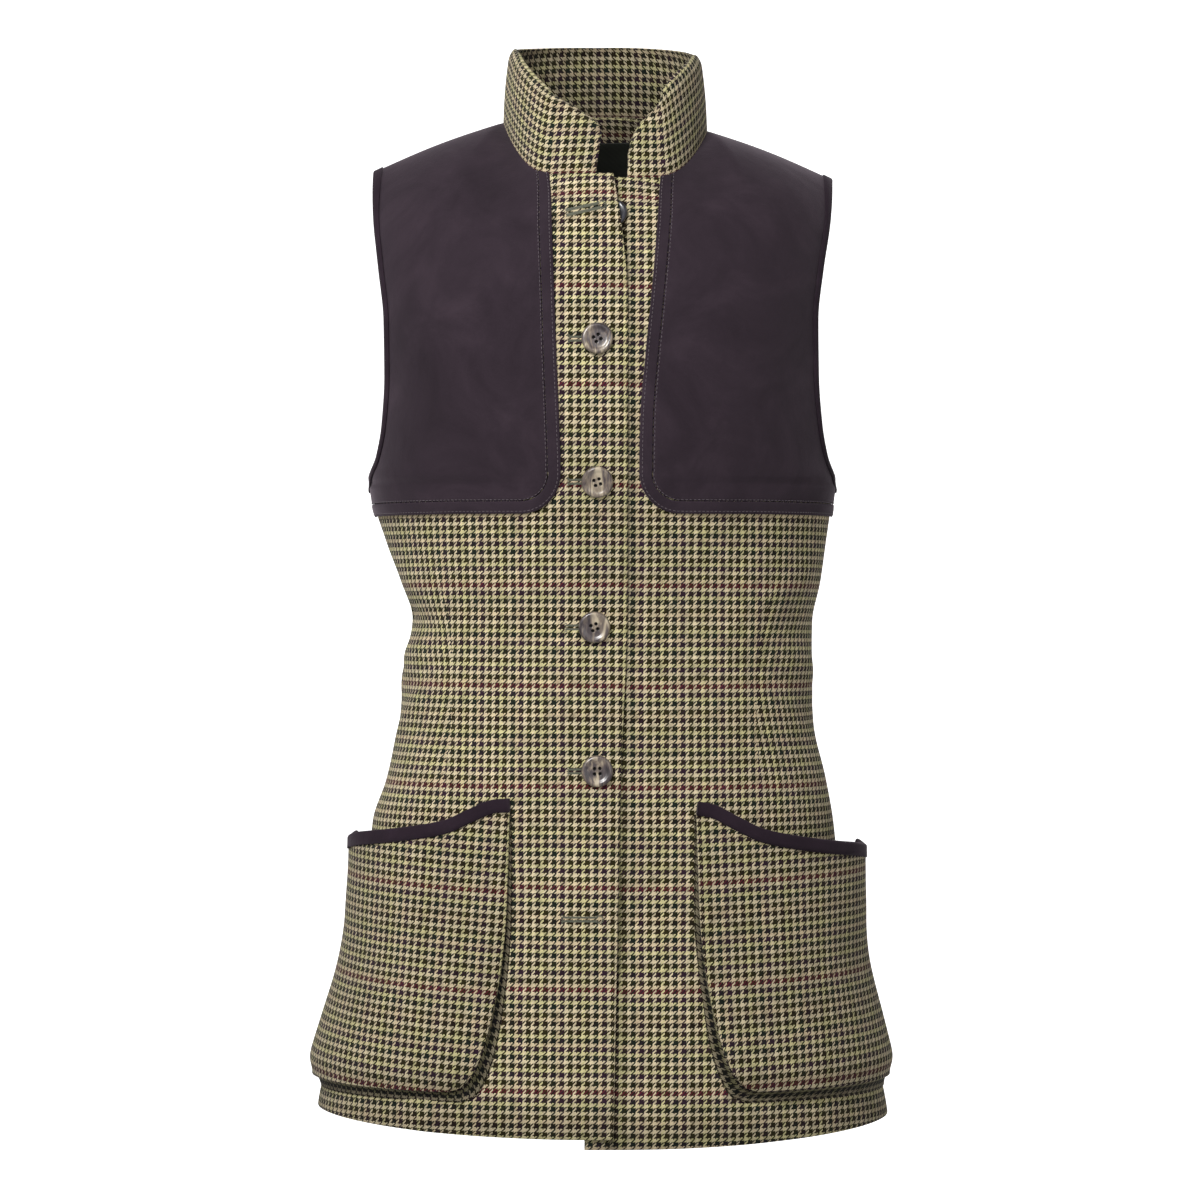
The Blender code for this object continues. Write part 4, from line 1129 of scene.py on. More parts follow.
def check_places(flat, name):
    """Flat places with the wine band at its height and the yarns shifted for this panel.

    On all but the left pieces the rows run to the wearer's right as seen from outside. Their
    places change sign, so that the twill slants one way all over, as in real cloth.
    """
    way = 1 if name.endswith("_left") else -1
    return flat * (way, 1) - (0, wine_place - REPEAT / 4) + (PANEL_SHIFT.get(name, SHIFT), 0)


# %% [markdown]
# The lamps alone leave cloth too light in its folds, at a hem and under a lap, so shade is
# painted there, as on the collar and the pockets. Baked light could give that. Here each
# point of a sheet stores an amount of painted shade, from 0 to 1, and the tweed darkens by it.

# %% Shade in folds
HEM_SHADE, HEM_SHADE_WIDTH = 0.42, 22.0
LAP_SHADE, LAP_SHADE_WIDTH = 0.4, 6.0
INSIDE_SHADE = {"front": 0.3, "back": 0.5, "pocket": 0.6}


def wall_painted_shade(outer, inner, count, rim=None):
    """Painted shade of a wall's points: outer sheet, inner sheet, then the rim, or else their mean."""
    inner = np.broadcast_to(inner, outer.shape)
    rest = np.full(count - 2 * outer.size, outer.mean() if rim is None else rim)
    return np.concatenate([outer.ravel(), inner.ravel(), rest])


def set_painted_shade(piece, values):
    """Store the painted shade of each point, which the tweed reads."""
    layer = piece.data.attributes.new("painted_shade", "FLOAT", "POINT")
    layer.data.foreach_set("value", values.astype(np.float32))


def panel_painted_shade(panel, under_lap=False):
    """Shade near the hem and, on the front under the lap, beside the lap's edge.

    Both are soft: amount times exp(-(distance / width)^2).
    """
    above = panel.points[..., 2] - panel.points[:1, :, 2]
    depth = HEM_SHADE * np.exp(-((above / HEM_SHADE_WIDTH) ** 2))
    if under_lap:
        beside = panel.points[..., 0] - fronts[RIGHT].points[:, :1, 0]
        depth += LAP_SHADE * np.exp(-((beside / LAP_SHADE_WIDTH) ** 2))
    return depth


# %% Fronts and back in cloth
for side in (RIGHT, LEFT):
    panel = fronts[side]
    name = "front_" + WORD[side]
    inner = panel.points - CLOTH * panel.normals
    intake = np.concatenate([smooth(ROWS, DART_LINE, "intake"), np.zeros(len(YOKE))])
    split = (STAND_CELLS + MIDDLE_CELLS, side * intake)
    made = wall(panel.points, inner, check_places(panel.flat, name), split=split, facing=STAND_CELLS)
    piece = add_piece(name + "_cloth", name, "tweed", *made[:3], [TWEED, LINING_CLOTH], made[3])
    declare_sheet(piece, panel.points)
    depth = panel_painted_shade(panel, under_lap=side == LEFT)
    set_painted_shade(piece, wall_painted_shade(depth, INSIDE_SHADE["front"], len(made[0])))

made = wall(back.points, back.points - CLOTH * back.normals, check_places(back.flat, "back"))
piece = add_piece("back_cloth", "back", "tweed", *made[:3], [TWEED])
declare_sheet(piece, back.points)
set_painted_shade(piece, wall_painted_shade(panel_painted_shade(back), INSIDE_SHADE["back"], len(made[0])))

# %% [markdown]
# The back's lining is a second sheet inside the first, cut a little short at its edges. It
# shows in the neck gap.

# %% Back lining
LINING_HEM = -672.0
LINING_TOP = 0.84
LINING_SIDE = 8.0

rows = slice(int(back.row_at(LINING_HEM)), len(ROWS) + int(LINING_TOP * len(YOKE)))
cells = round(BACK_CELLS * LINING_SIDE / BACK_SIDE)
columns = slice(BACK_CELLS - cells, BACK_CELLS + cells + 1)
lining_normals = back.normals[rows, columns]
lining_points = back.points[rows, columns] - (CLOTH + LAY_GAP) * lining_normals
made = wall(lining_points, lining_points - LINING * lining_normals, back.flat[rows, columns])
piece = add_piece("back_lining_cloth", "back_lining", "lining", *made[:3], [LINING_CLOTH])
print("lining top at the centre", round(float(lining_points[-1, lining_points.shape[1] // 2, 2]), 1))
declare_sheet(piece, lining_points)

# %% [markdown]
# The suede patch lies on the front, with a strip of the same suede along its inner and
# lower edge and a rounded corner between. Both are made from places on the front.

# %% Suede patches
PATCH_FOOT = -278.0
PATCH_CORNER = 28.0
STRIP_WALL = 1.7
STRIP_CROWN = 0.3  # how much the strip swells between its edges
PATCH_COLUMNS = 60
STRIP_ACROSS = 7
CORNER_STEPS = 18


def patch_surface(panel):
    """Points and normals of the patch inside its strip, the lower corner rounded by a circle."""
    foot = panel.row_at(PATCH_FOOT + EDGE_STRIP)
    row = np.concatenate([[foot], np.arange(np.ceil(foot + 0.3), len(panel.points))])
    z = np.where(row < len(ROWS), np.interp(row, np.arange(len(ROWS)), ROWS), CHEST)
    radius = PATCH_CORNER - EDGE_STRIP
    low = np.clip(radius - (z - (PATCH_FOOT + EDGE_STRIP)), 0, radius)
    start = EDGE_STRIP + radius - np.sqrt(radius**2 - low**2)
    every_row = np.arange(len(panel.points))
    end = np.interp(row, every_row, panel.measures["reach"][:, -1])
    first = np.maximum(start, np.interp(row, every_row, strip_reach(panel)))
    reach = first[:, None] + (end - first)[:, None] * np.linspace(0, 1, PATCH_COLUMNS + 1)
    return panel.at(row[:, None], reach, "reach")


def strip_reach(panel):
    """How far the strip's inner edge lies from the patch line, row by row."""
    columns = panel.measures["column"]
    return read_rows(columns, panel.measures["reach"], np.full((len(columns), 1), STRIP))[:, 0]


def patch_outline(panel, inset):
    """Points and normals along the patch's edge, moved in by an inset: down, round, and out."""
    top = len(panel.points) - 1
    corner_row = panel.row_at(PATCH_FOOT + PATCH_CORNER)
    down_rows = np.arange(top, np.ceil(corner_row), -1)
    down_reach = strip_reach(panel)[down_rows.astype(int)] * inset / EDGE_STRIP
    turn = np.linspace(0, np.pi / 2, CORNER_STEPS + 1)
    corner_rows = panel.row_at(PATCH_FOOT + PATCH_CORNER - (PATCH_CORNER - inset) * np.sin(turn))
    corner_reach = PATCH_CORNER - (PATCH_CORNER - inset) * np.cos(turn)
    foot = panel.row_at(PATCH_FOOT + inset)
    end = float(np.interp(foot, np.arange(len(panel.points)), panel.measures["reach"][:, -1]))
    out_reach = np.linspace(PATCH_CORNER, end, 50)[1:]
    rows = np.concatenate([down_rows, corner_rows, np.full(len(out_reach), foot)])
    reach = np.concatenate([down_reach, corner_reach, out_reach])
    return panel.at(rows, reach, "reach")


for side in (RIGHT, LEFT):
    word, panel = WORD[side], fronts[side]
    points, normals = patch_surface(panel)
    low = points + LAY_GAP * normals
    outer = low + SUEDE_WALL * normals
    made = wall(outer, low, np.stack([lengths(outer, 1), lengths(outer, 0)], axis=-1))
    piece = add_piece(f"patch_{word}_suede", "patch_" + word, "suede", *made[:3], [SUEDE])
    declare_sheet(piece, outer)

    insets = np.linspace(0, EDGE_STRIP - SEAM_GAP, STRIP_ACROSS + 1)
    lines = [patch_outline(panel, inset) for inset in insets]
    strip = np.array([points for points, _ in lines])
    strip_normals = np.array([normals for _, normals in lines])
    low = strip + LAY_GAP * strip_normals
    crown = STRIP_CROWN * np.sin(np.pi * np.linspace(0, 1, STRIP_ACROSS + 1))[:, None, None]
    outer = low + (STRIP_WALL - 0.2 + crown) * strip_normals
    made = wall(outer, low, np.stack([lengths(outer, 1), lengths(outer, 0)], axis=-1))
    piece = add_piece(f"patch_edge_{word}_suede", "patch_edge_" + word, "suede", *made[:3], [SUEDE])
    declare_sheet(piece, outer)

# %% [markdown]
# Stitches are short lengths of thread that dip into the cloth at both ends. Hundreds of
# them are made at once: one array holds every stitch, every ring of it and every point of
# the ring. A stitch has a few dozen faces, which is enough at its size.

# %% Stitches
STITCH_RINGS = 5
STITCH_SIDES = 6


def stitch_mesh(starts, ends, normals, radius, rise):
    """Joined tubes from starts to ends, bowed out by a parabola and thin at both ends."""
    t = np.linspace(0, 1, STITCH_RINGS)[None, :, None]
    way = unit(ends - starts)[:, None]
    up = normals[:, None]
    side = unit(np.cross(way, up))
    bow = 1 - (2 * t - 1) ** 2
    line = (1 - t) * starts[:, None] + t * ends[:, None] + up * (rise * bow - 0.5 * radius)
    thick = radius * (0.35 + 0.65 * np.sqrt(bow))
    turn = 2 * np.pi * np.arange(STITCH_SIDES) / STITCH_SIDES
    ring = side[:, :, None] * np.cos(turn)[:, None] + up[:, :, None] * np.sin(turn)[:, None]
    points = line[:, :, None] + thick[:, :, None] * ring
    count = len(starts)
    index = np.arange(count * STITCH_RINGS * STITCH_SIDES).reshape(count, STITCH_RINGS, STITCH_SIDES)
    after = np.roll(index, -1, axis=2)
    tube = np.stack([index[:, :-1], after[:, :-1], after[:, 1:], index[:, 1:]], axis=-1).reshape(-1, 4)
    first, last = index[:, 0], index[:, -1]
    first_caps = [first[:, (3, 2, 1, 0)], first[:, (5, 4, 3, 0)]]
    last_caps = [last[:, (0, 1, 2, 3)], last[:, (0, 3, 4, 5)]]
    return points.reshape(-1, 3), np.vstack([tube, *first_caps, *last_caps])


def row_of_stitches(points, normals, pitch, share, radius, rise):
    """Stitches along a line: one every pitch, each a share of the pitch long."""
    run = lengths(points)
    count = int(run[-1] / pitch)
    starts = pitch * (np.arange(count) + 0.1)
    both = [
        np.column_stack([np.interp(starts + shift, run, grid[:, k]) for k in range(3)])
        for grid in (points, normals)
        for shift in (0, share * pitch)
    ]
    return stitch_mesh(both[0], both[1], unit(both[2]), radius, rise)


def add_threads(name, groups, finish, slot):
    """One piece from several joined meshes."""
    points, quads, at = [], [], 0
    for group_points, group_quads in groups:
        points.append(group_points)
        quads.append(group_quads + at)
        at += len(group_points)
    points, quads = np.vstack(points), np.vstack(quads)
    return add_piece(name, None, slot, points, quads, np.zeros((len(quads), 4, 2)), [finish])


# %% [markdown]
# Two rows of stitches, a little paler than the suede, hold the strip down, one near the
# patch's edge and one just inside the strip.

# %% Topstitching of the patches
TOP_STITCH = dict(pitch=3.0, share=0.68, radius=0.26, rise=0.32)
STITCH_LINES = (  # inset from the patch's edge, height over the front
    (1.9, LAY_GAP + STRIP_WALL),
    (EDGE_STRIP + 0.8, LAY_GAP + SUEDE_WALL),
)

for side in (RIGHT, LEFT):
    groups = []
    for inset, height in STITCH_LINES:
        points, normals = patch_outline(fronts[side], inset)
        groups.append(row_of_stitches(points + height * normals, normals, **TOP_STITCH))
    add_threads(f"patch_stitches_{WORD[side]}", groups, TOP_THREAD, "suede")
print("stitches in a patch", sum(len(group[0]) for group in groups) // (STITCH_RINGS * STITCH_SIDES))

# %% [markdown]
# A binding is a folded strip of suede that grips a raw edge. Its section is a hairpin: an
# outer leg, a round fold past the edge, and an inner leg. The section is carried along the
# edge, in the direction across it and the direction of the normals.

# %% Bindings


def edge_ways(points, normals, hint, ring=False):
    """Directions in the cloth, square to an edge, on the side that the hints point to."""
    if ring:
        forward = np.roll(points, -1, axis=0) - np.roll(points, 1, axis=0)
    else:
        forward = np.gradient(points, axis=0)
    ways = unit(np.cross(forward, normals))
    return ways * np.sign(np.sum(ways * hint, axis=1, keepdims=True))


def hairpin(leg, width, top, bottom, skin):
    """Closed section of a binding: across and depth of its points, for arrays of top heights.

    The outside runs up the outer leg, round half an ellipse and down the inner leg, and the
    inside comes back a skin's thickness within it.
    """
    turn = np.linspace(np.pi / 2, -np.pi / 2, 9)
    middle, half = (top + bottom) / 2, (top - bottom) / 2
    rounding = min(width * 0.45, 2.2)
    outside = [(-leg, top), (0.4 * (width - rounding), top)]
    outside += [(width - rounding + rounding * np.cos(a), middle + half * np.sin(a)) for a in turn]
    outside += [(0.4 * (width - rounding), bottom), (-leg, bottom)]
    inside = [(-leg, bottom + skin), (0.25, bottom + skin), (0.25, top - skin), (-leg, top - skin)]
    return outside + inside


def carry_section(points, normals, across, section, ring=False):
    """A closed section along a line; its ends are closed by a cap unless it is a ring."""
    rows = []
    for a, depth in section:
        row = points + across * np.asarray(a)[..., None] + normals * np.asarray(depth)[..., None]
        rows.append(np.broadcast_to(row, points.shape))
    grid = np.array(rows)
    rows_count, columns = grid.shape[:2]
    index = np.arange(rows_count * columns).reshape(rows_count, columns)
    right, above = np.roll(index, -1, axis=1), np.roll(index, -1, axis=0)
    corner = np.roll(above, -1, axis=1)
    last = columns if ring else columns - 1
    quads = np.stack([a[:, :last].ravel() for a in (index, right, corner, above)], axis=1)
    along = np.broadcast_to(lengths(points), (rows_count, columns))
    flat = np.stack([along, lengths(grid, 0)], axis=-1).reshape(-1, 2)
    if not ring:
        half = rows_count // 2
        ladder = np.arange(half)
        for column, flip in ((0, 1), (columns - 1, -1)):
            one, other = index[ladder, column], index[rows_count - 1 - ladder, column]
            cap = np.column_stack([one[:-1], other[:-1], other[1:], one[1:]])[:, ::flip]
            quads = np.vstack([quads, cap])
    return grid.reshape(-1, 3), quads, flat[quads]


def soften(vectors, times):
    """Directions round a ring, each averaged with its two neighbours a few times."""
    for _ in range(times):
        vectors = unit(np.roll(vectors, 1, axis=0) + 2 * vectors + np.roll(vectors, -1, axis=0))
    return vectors


ARMHOLE_WIDTH, ARMHOLE_LEG = 5.0, 3.4
ARMHOLE_CELL = 2.2
BINDING_LIFT = 1.15
BINDING_SKIN = 0.9
BINDING_CUT = 0.0165  # metres across the cut strip
SUEDE_TOP = LAY_GAP + SUEDE_WALL

for side in (RIGHT, LEFT):
    word, front = WORD[side], fronts[side]
    start = int(np.flatnonzero(ROWS == UNDERARM)[0])
    edge = -1 if side == LEFT else 0
    points = np.vstack([front.points[start:, -1], back.points[-2:start:-1, edge]])
    normals = unit(np.vstack([front.normals[start:, -1], back.normals[-2:start:-1, edge]]))
    closed_points = np.vstack([points, points[:1]])
    closed_normals = np.vstack([normals, normals[:1]])
    run = lengths(closed_points)
    even = np.linspace(0, run[-1], int(run[-1] / ARMHOLE_CELL), endpoint=False)
    points = np.column_stack([np.interp(even, run, closed_points[:, k]) for k in range(3)])
    normals = np.column_stack([np.interp(even, run, closed_normals[:, k]) for k in range(3)])
    normals = soften(normals, 3)
    front_run = run[len(front.points) - start - 1]
    hole_way = edge_ways(points, normals, points.mean(axis=0) - points, ring=True)
    hole_way = soften(hole_way, 2)
    from_middle = np.abs(even - front_run / 2)
    on_patch = fade(from_middle, front_run / 2 - 4, front_run / 2 + 4)
    top = BINDING_LIFT + on_patch * SUEDE_TOP
    section = hairpin(ARMHOLE_LEG, ARMHOLE_WIDTH, top, -CLOTH - 1.1, BINDING_SKIN)
    made = carry_section(points, normals, hole_way, section, ring=True)
    name = "armhole_binding_" + word
    piece = add_piece(name + "_suede", name, "suede", *made, [SUEDE_SHADED])
    flat = (float(run[-1]) * MM, BINDING_CUT)

# %% [markdown]
# The stand collar rises from the neckline. It is tall at the sides, lower at its rounded
# front ends, and leans in a little. Its two faces are tweed, so the inside of its back
# shows the check as well.

# %% Collar
CollarPoint = namedtuple("CollarPoint", "along right left lean")
COLLAR = (
    CollarPoint(0.00, 38.0, 33.0, 12),
    CollarPoint(0.03, 41.5, 39.0, 12),
    CollarPoint(0.07, 47.5, 47.0, 12),
    CollarPoint(0.12, 54.0, 55.0, 11),
    CollarPoint(0.18, 59.0, 60.5, 10),
    CollarPoint(0.26, 60.5, 62.5, 8),
    CollarPoint(0.42, 59.5, 60.0, 5),
    CollarPoint(0.60, 55.0, 55.0, 5),
    CollarPoint(0.80, 52.0, 52.0, 3),
    CollarPoint(1.00, 51.0, 51.0, 1),
)
COLLAR_START = {RIGHT: 5.0, LEFT: 17.0}  # out from the centre on each side
COLLAR_CORNER = {RIGHT: 8.0, LEFT: 15.0}  # radius of the front ends' upper corners
COLLAR_SLANT = {RIGHT: 3.6, LEFT: -1.6}  # how far the front ends slant towards the centre
COLLAR_CELLS, COLLAR_HEIGHT_CELLS = 150, 24
COLLAR_BOW = 1.0
COLLAR_ROLL, COLLAR_ROLL_WIDTH = 3.0, 9.0  # how far the upper edge rolls in, and over what width
COLLAR_CHECK = (SHIFT, 2.0)  # how far its check is moved, along and up
COLLAR_SHADE = 0.14
COLLAR_INSIDE = (0.44, 0.35)  # shade of the inner face at its upper edge, and what is added below


def neck_edge(side):
    """The front's neckline from the collar's start to the neck point, and the way up from it."""
    panel = fronts[side]
    top = panel.points[-1]
    neck = STAND_CELLS + MIDDLE_CELLS
    first = np.interp(COLLAR_START[side], top[:, 0] * side, np.arange(len(top)))
    columns = np.concatenate([[first], np.arange(int(first) + 1, neck + 1)])
    low = columns.astype(int)
    share = (columns - low)[:, None]
    rows = []
    for grid in (panel.points[-1], panel.normals[-1], panel.points[-1] - panel.points[-6]):
        rows.append((1 - share) * grid[low] + share * grid[np.minimum(low + 1, len(top) - 1)])
    points, normals, hint = rows
    rising = points[:, 2] > -25
    hint[rising] = points[rising] * (-1, -0.2, 0) + (0, 0, 20)
    return points, edge_ways(points, unit(normals), hint)


def make_collar():
    """Rows up from the neckline: up is a lean between straight up and inwards."""
    right, right_way = neck_edge(RIGHT)
    left, left_way = neck_edge(LEFT)
    neck = round(BACK_CELLS * BACK_NECK_COLUMN / BACK_SIDE)
    middle = slice(BACK_CELLS - neck, BACK_CELLS + neck + 1)
    behind = back.points[-1, middle]
    behind_way = edge_ways(behind, back.normals[-1, middle], behind * (-1, -1, 0) + (0, 0, 30))
    edge = np.vstack([right, behind[1:-1], left[::-1]])
    ways = np.vstack([right_way, behind_way[1:-1], left_way[::-1]])
    run = lengths(edge)
    places = np.linspace(0, run[-1], COLLAR_CELLS + 1)
    base = np.column_stack([np.interp(places, run, edge[:, k]) for k in range(3)])
    way = unit(np.column_stack([np.interp(places, run, ways[:, k]) for k in range(3)]))
    half = run[-1] / 2
    part = 1 - np.abs(places - half) / half
    on_right = places < half
    height = np.where(on_right, smooth(part, COLLAR, "right"), smooth(part, COLLAR, "left"))
    lean = np.radians(smooth(part, COLLAR, "lean"))[:, None]
    radius = np.where(on_right, COLLAR_CORNER[RIGHT], COLLAR_CORNER[LEFT])
    corner = np.clip(radius - np.minimum(places, run[-1] - places), 0, None)
    height = height - radius + np.sqrt(radius**2 - corner**2)
    forward = unit(np.gradient(base, axis=0) * (1, 1, 0))
    for _ in range(6):
        forward[1:-1] = unit(forward[:-2] + 2 * forward[1:-1] + forward[2:])
    inwards = unit(np.cross(forward, (0, 0, 1)))
    inwards *= np.sign(np.sum(inwards * (base * (-1, -1, 0)), axis=1, keepdims=True))
    up = np.cos(lean) * np.array([0, 0, 1]) + np.sin(lean) * inwards
    outwards = unit(np.cross(forward, up))
    outwards *= np.sign(np.sum(outwards * -inwards, axis=1, keepdims=True))
    rise = np.linspace(0, 1, COLLAR_HEIGHT_CELLS + 1)[:, None]
    bow = COLLAR_BOW * np.sin(np.pi * rise) * np.sin(np.pi * np.clip(part * 3, 0, 1) / 2)[None]
    bow -= COLLAR_ROLL * np.clip(1 - height * (1 - rise) / COLLAR_ROLL_WIDTH, 0, 1) ** 2
    outer = base - COLLAR_OVERLAP * way + (rise * height)[..., None] * up + bow[..., None] * outwards
    slant = np.where(on_right, -COLLAR_SLANT[RIGHT], COLLAR_SLANT[LEFT]) * fade(part, 0.0, 0.2)
    outer += (rise * slant)[..., None] * forward
    flat = np.stack([np.broadcast_to(places, rise.shape[:1] + places.shape), rise * height], axis=-1)
    made = wall(outer, outer - COLLAR_WALL * outwards, flat * (-1, 1) + COLLAR_CHECK)
    piece = add_piece("collar_cloth", "collar", "tweed", *made[:3], [TWEED])
    declare_sheet(piece, outer)
    # Painted shade: a little over the outer face, more over the inner face, most low down on it.
    inside = COLLAR_INSIDE[0] + COLLAR_INSIDE[1] * (1 - rise)
    depth = np.full(outer.shape[:2], COLLAR_SHADE)
    set_painted_shade(piece, wall_painted_shade(depth, inside, len(made[0])))


make_collar()

# %% [markdown]
# A bellows pocket stands off the vest on a strip of cloth, the gusset, which folds when
# the pocket is empty. Its front is worked out like a panel, from the distance round the
# body and the height, and then moved out by the bellows. Its mouth droops towards the side.

# %% Pockets
POCKET_FOOT = -679.0
PocketSide = namedtuple("PocketSide", "z inner past_seam")
POCKET_SIDE = (
    PocketSide(-679, 108.0, 8),
    PocketSide(-676, 98.0, 14),
    PocketSide(-670, 91.5, 18),
    PocketSide(-660, 85.5, 21),
    PocketSide(-648, 81.0, 22),
    PocketSide(-624, 75.0, 22),
    PocketSide(-590, 69.0, 22),
    PocketSide(-555, 66.0, 22),
    PocketSide(-476, 64.5, 22),
)
MouthPoint = namedtuple("MouthPoint", "along right left")
MOUTH = (
    MouthPoint(0.00, -485.0, -487.0),
    MouthPoint(0.05, -485.5, -488.5),
    MouthPoint(0.14, -492.0, -497.0),
    MouthPoint(0.25, -501.0, -507.0),
    MouthPoint(0.48, -508.5, -516.0),
    MouthPoint(0.65, -512.0, -520.0),
    MouthPoint(0.89, -517.0, -524.0),
    MouthPoint(1.00, -515.0, -522.0),
)
Bellows = namedtuple("Bellows", "up inner right left")
BELLOWS = (
    Bellows(0.0, 12.0, 13.5, 11.5),
    Bellows(0.5, 8.0, 10.5, 12.0),
    Bellows(1.0, 3.4, 15.0, 20.0),
)
BELLOWS_TURN = 0.75  # share of the width over which the inner depth turns to the outer
POCKET_BULGE = 3.0
BULGE_START, BULGE_SPAN = 0.15, 0.7  # where the bulge's half wave starts, and its length
FOOT_ROLL = (5.0, 8.0)  # how far the lower edge rolls in, and over what width
SIDE_ROLL = (2.0, 5.0)
Spread = namedtuple("Spread", "up inner outer foot")
GUSSET_SPREAD = (
    Spread(0.0, 9.0, 3.0, 7),
    Spread(0.1, 7.5, 2.5, 2),
    Spread(0.5, 4.0, 1.0, 0),
    Spread(1.0, 1.5, 0.0, 0),
)
POCKET_UPS = np.linspace(0, 1, 61) ** 1.25  # closer rows near the foot
POCKET_OUTS = np.concatenate([np.linspace(0, 0.1, 9)[:-1], np.linspace(0.1, 1, 60)])
GUSSET_WALL = 1.5
GUSSET_FOOT = 0.7
GUSSET_ACROSS = 6
GUSSET_FOLD = 1.6
MOUTH_LEG, MOUTH_WIDTH, MOUTH_SKIN = 0.9, 9.0, 0.75  # the binding of the mouth
POCKET_SLANT = {RIGHT: -0.05, LEFT: -0.025}  # the check's fall a millimetre outwards: it rises
POCKET_SHADE = 0.2
FOOT_SHADE, FOOT_SHADE_WIDTH = 0.15, 0.08  # more shade near the foot, in shares of the height
GUSSET_SHADE = (0.7, 0.3)  # at the gusset's edges, and what is added in the middle of its fold
POCKET_CHECK_DROP = 9.1
POCKET_FOLDS = (
    Fold(0.30, 0.55, 0.34, 0.10, 78, 1.3),
    Fold(0.62, 0.40, 0.30, 0.09, 100, -1.2),
    Fold(0.80, 0.78, 0.26, 0.08, 20, 1.2),
    Fold(0.15, 0.20, 0.22, 0.08, 60, -1.0),
)


def body_ring(side, z):
    """Section from the centre front round to the centre back, with its run, for many heights."""
    front, behind = quarter(side, z) * (1, -1), quarter(side, z, back=True)
    ring = np.concatenate([front, behind[:, -2::-1]], axis=1)
    return ring, lengths(ring, axis=1), lengths(front, axis=1)[:, -1]


def body_points(side, place, z):
    """Points at distances round the body and heights, for a whole grid at once."""
    ring, run, _ = body_ring(side, z.ravel())
    flat_place = place.ravel()[:, None]
    x = side * read_rows(run, ring[..., 0], flat_place)[:, 0]
    y = read_rows(run, ring[..., 1], flat_place)[:, 0]
    return np.column_stack([x, y, z.ravel()]).reshape(*place.shape, 3)


def on_body(side, place, z):
    """Points and normals of the body's surface, from two neighbours a millimetre away."""
    points = body_points(side, place, z)
    ahead, above = body_points(side, place + 1.0, z), body_points(side, place, z + 1.0)
    return points, side * unit(np.cross(ahead - points, above - points))


def roll_in(distance, depth, width):
    """How far an edge rolls in at a distance from it: depth times exp(-(distance / width)^2)."""
    return depth * np.exp(-((distance / width) ** 2))


def outline(grid):
    """The grid's edge down its first column, along its foot and up its last column."""
    return np.concatenate([grid[:0:-1, 0], grid[0], grid[1:, -1]])


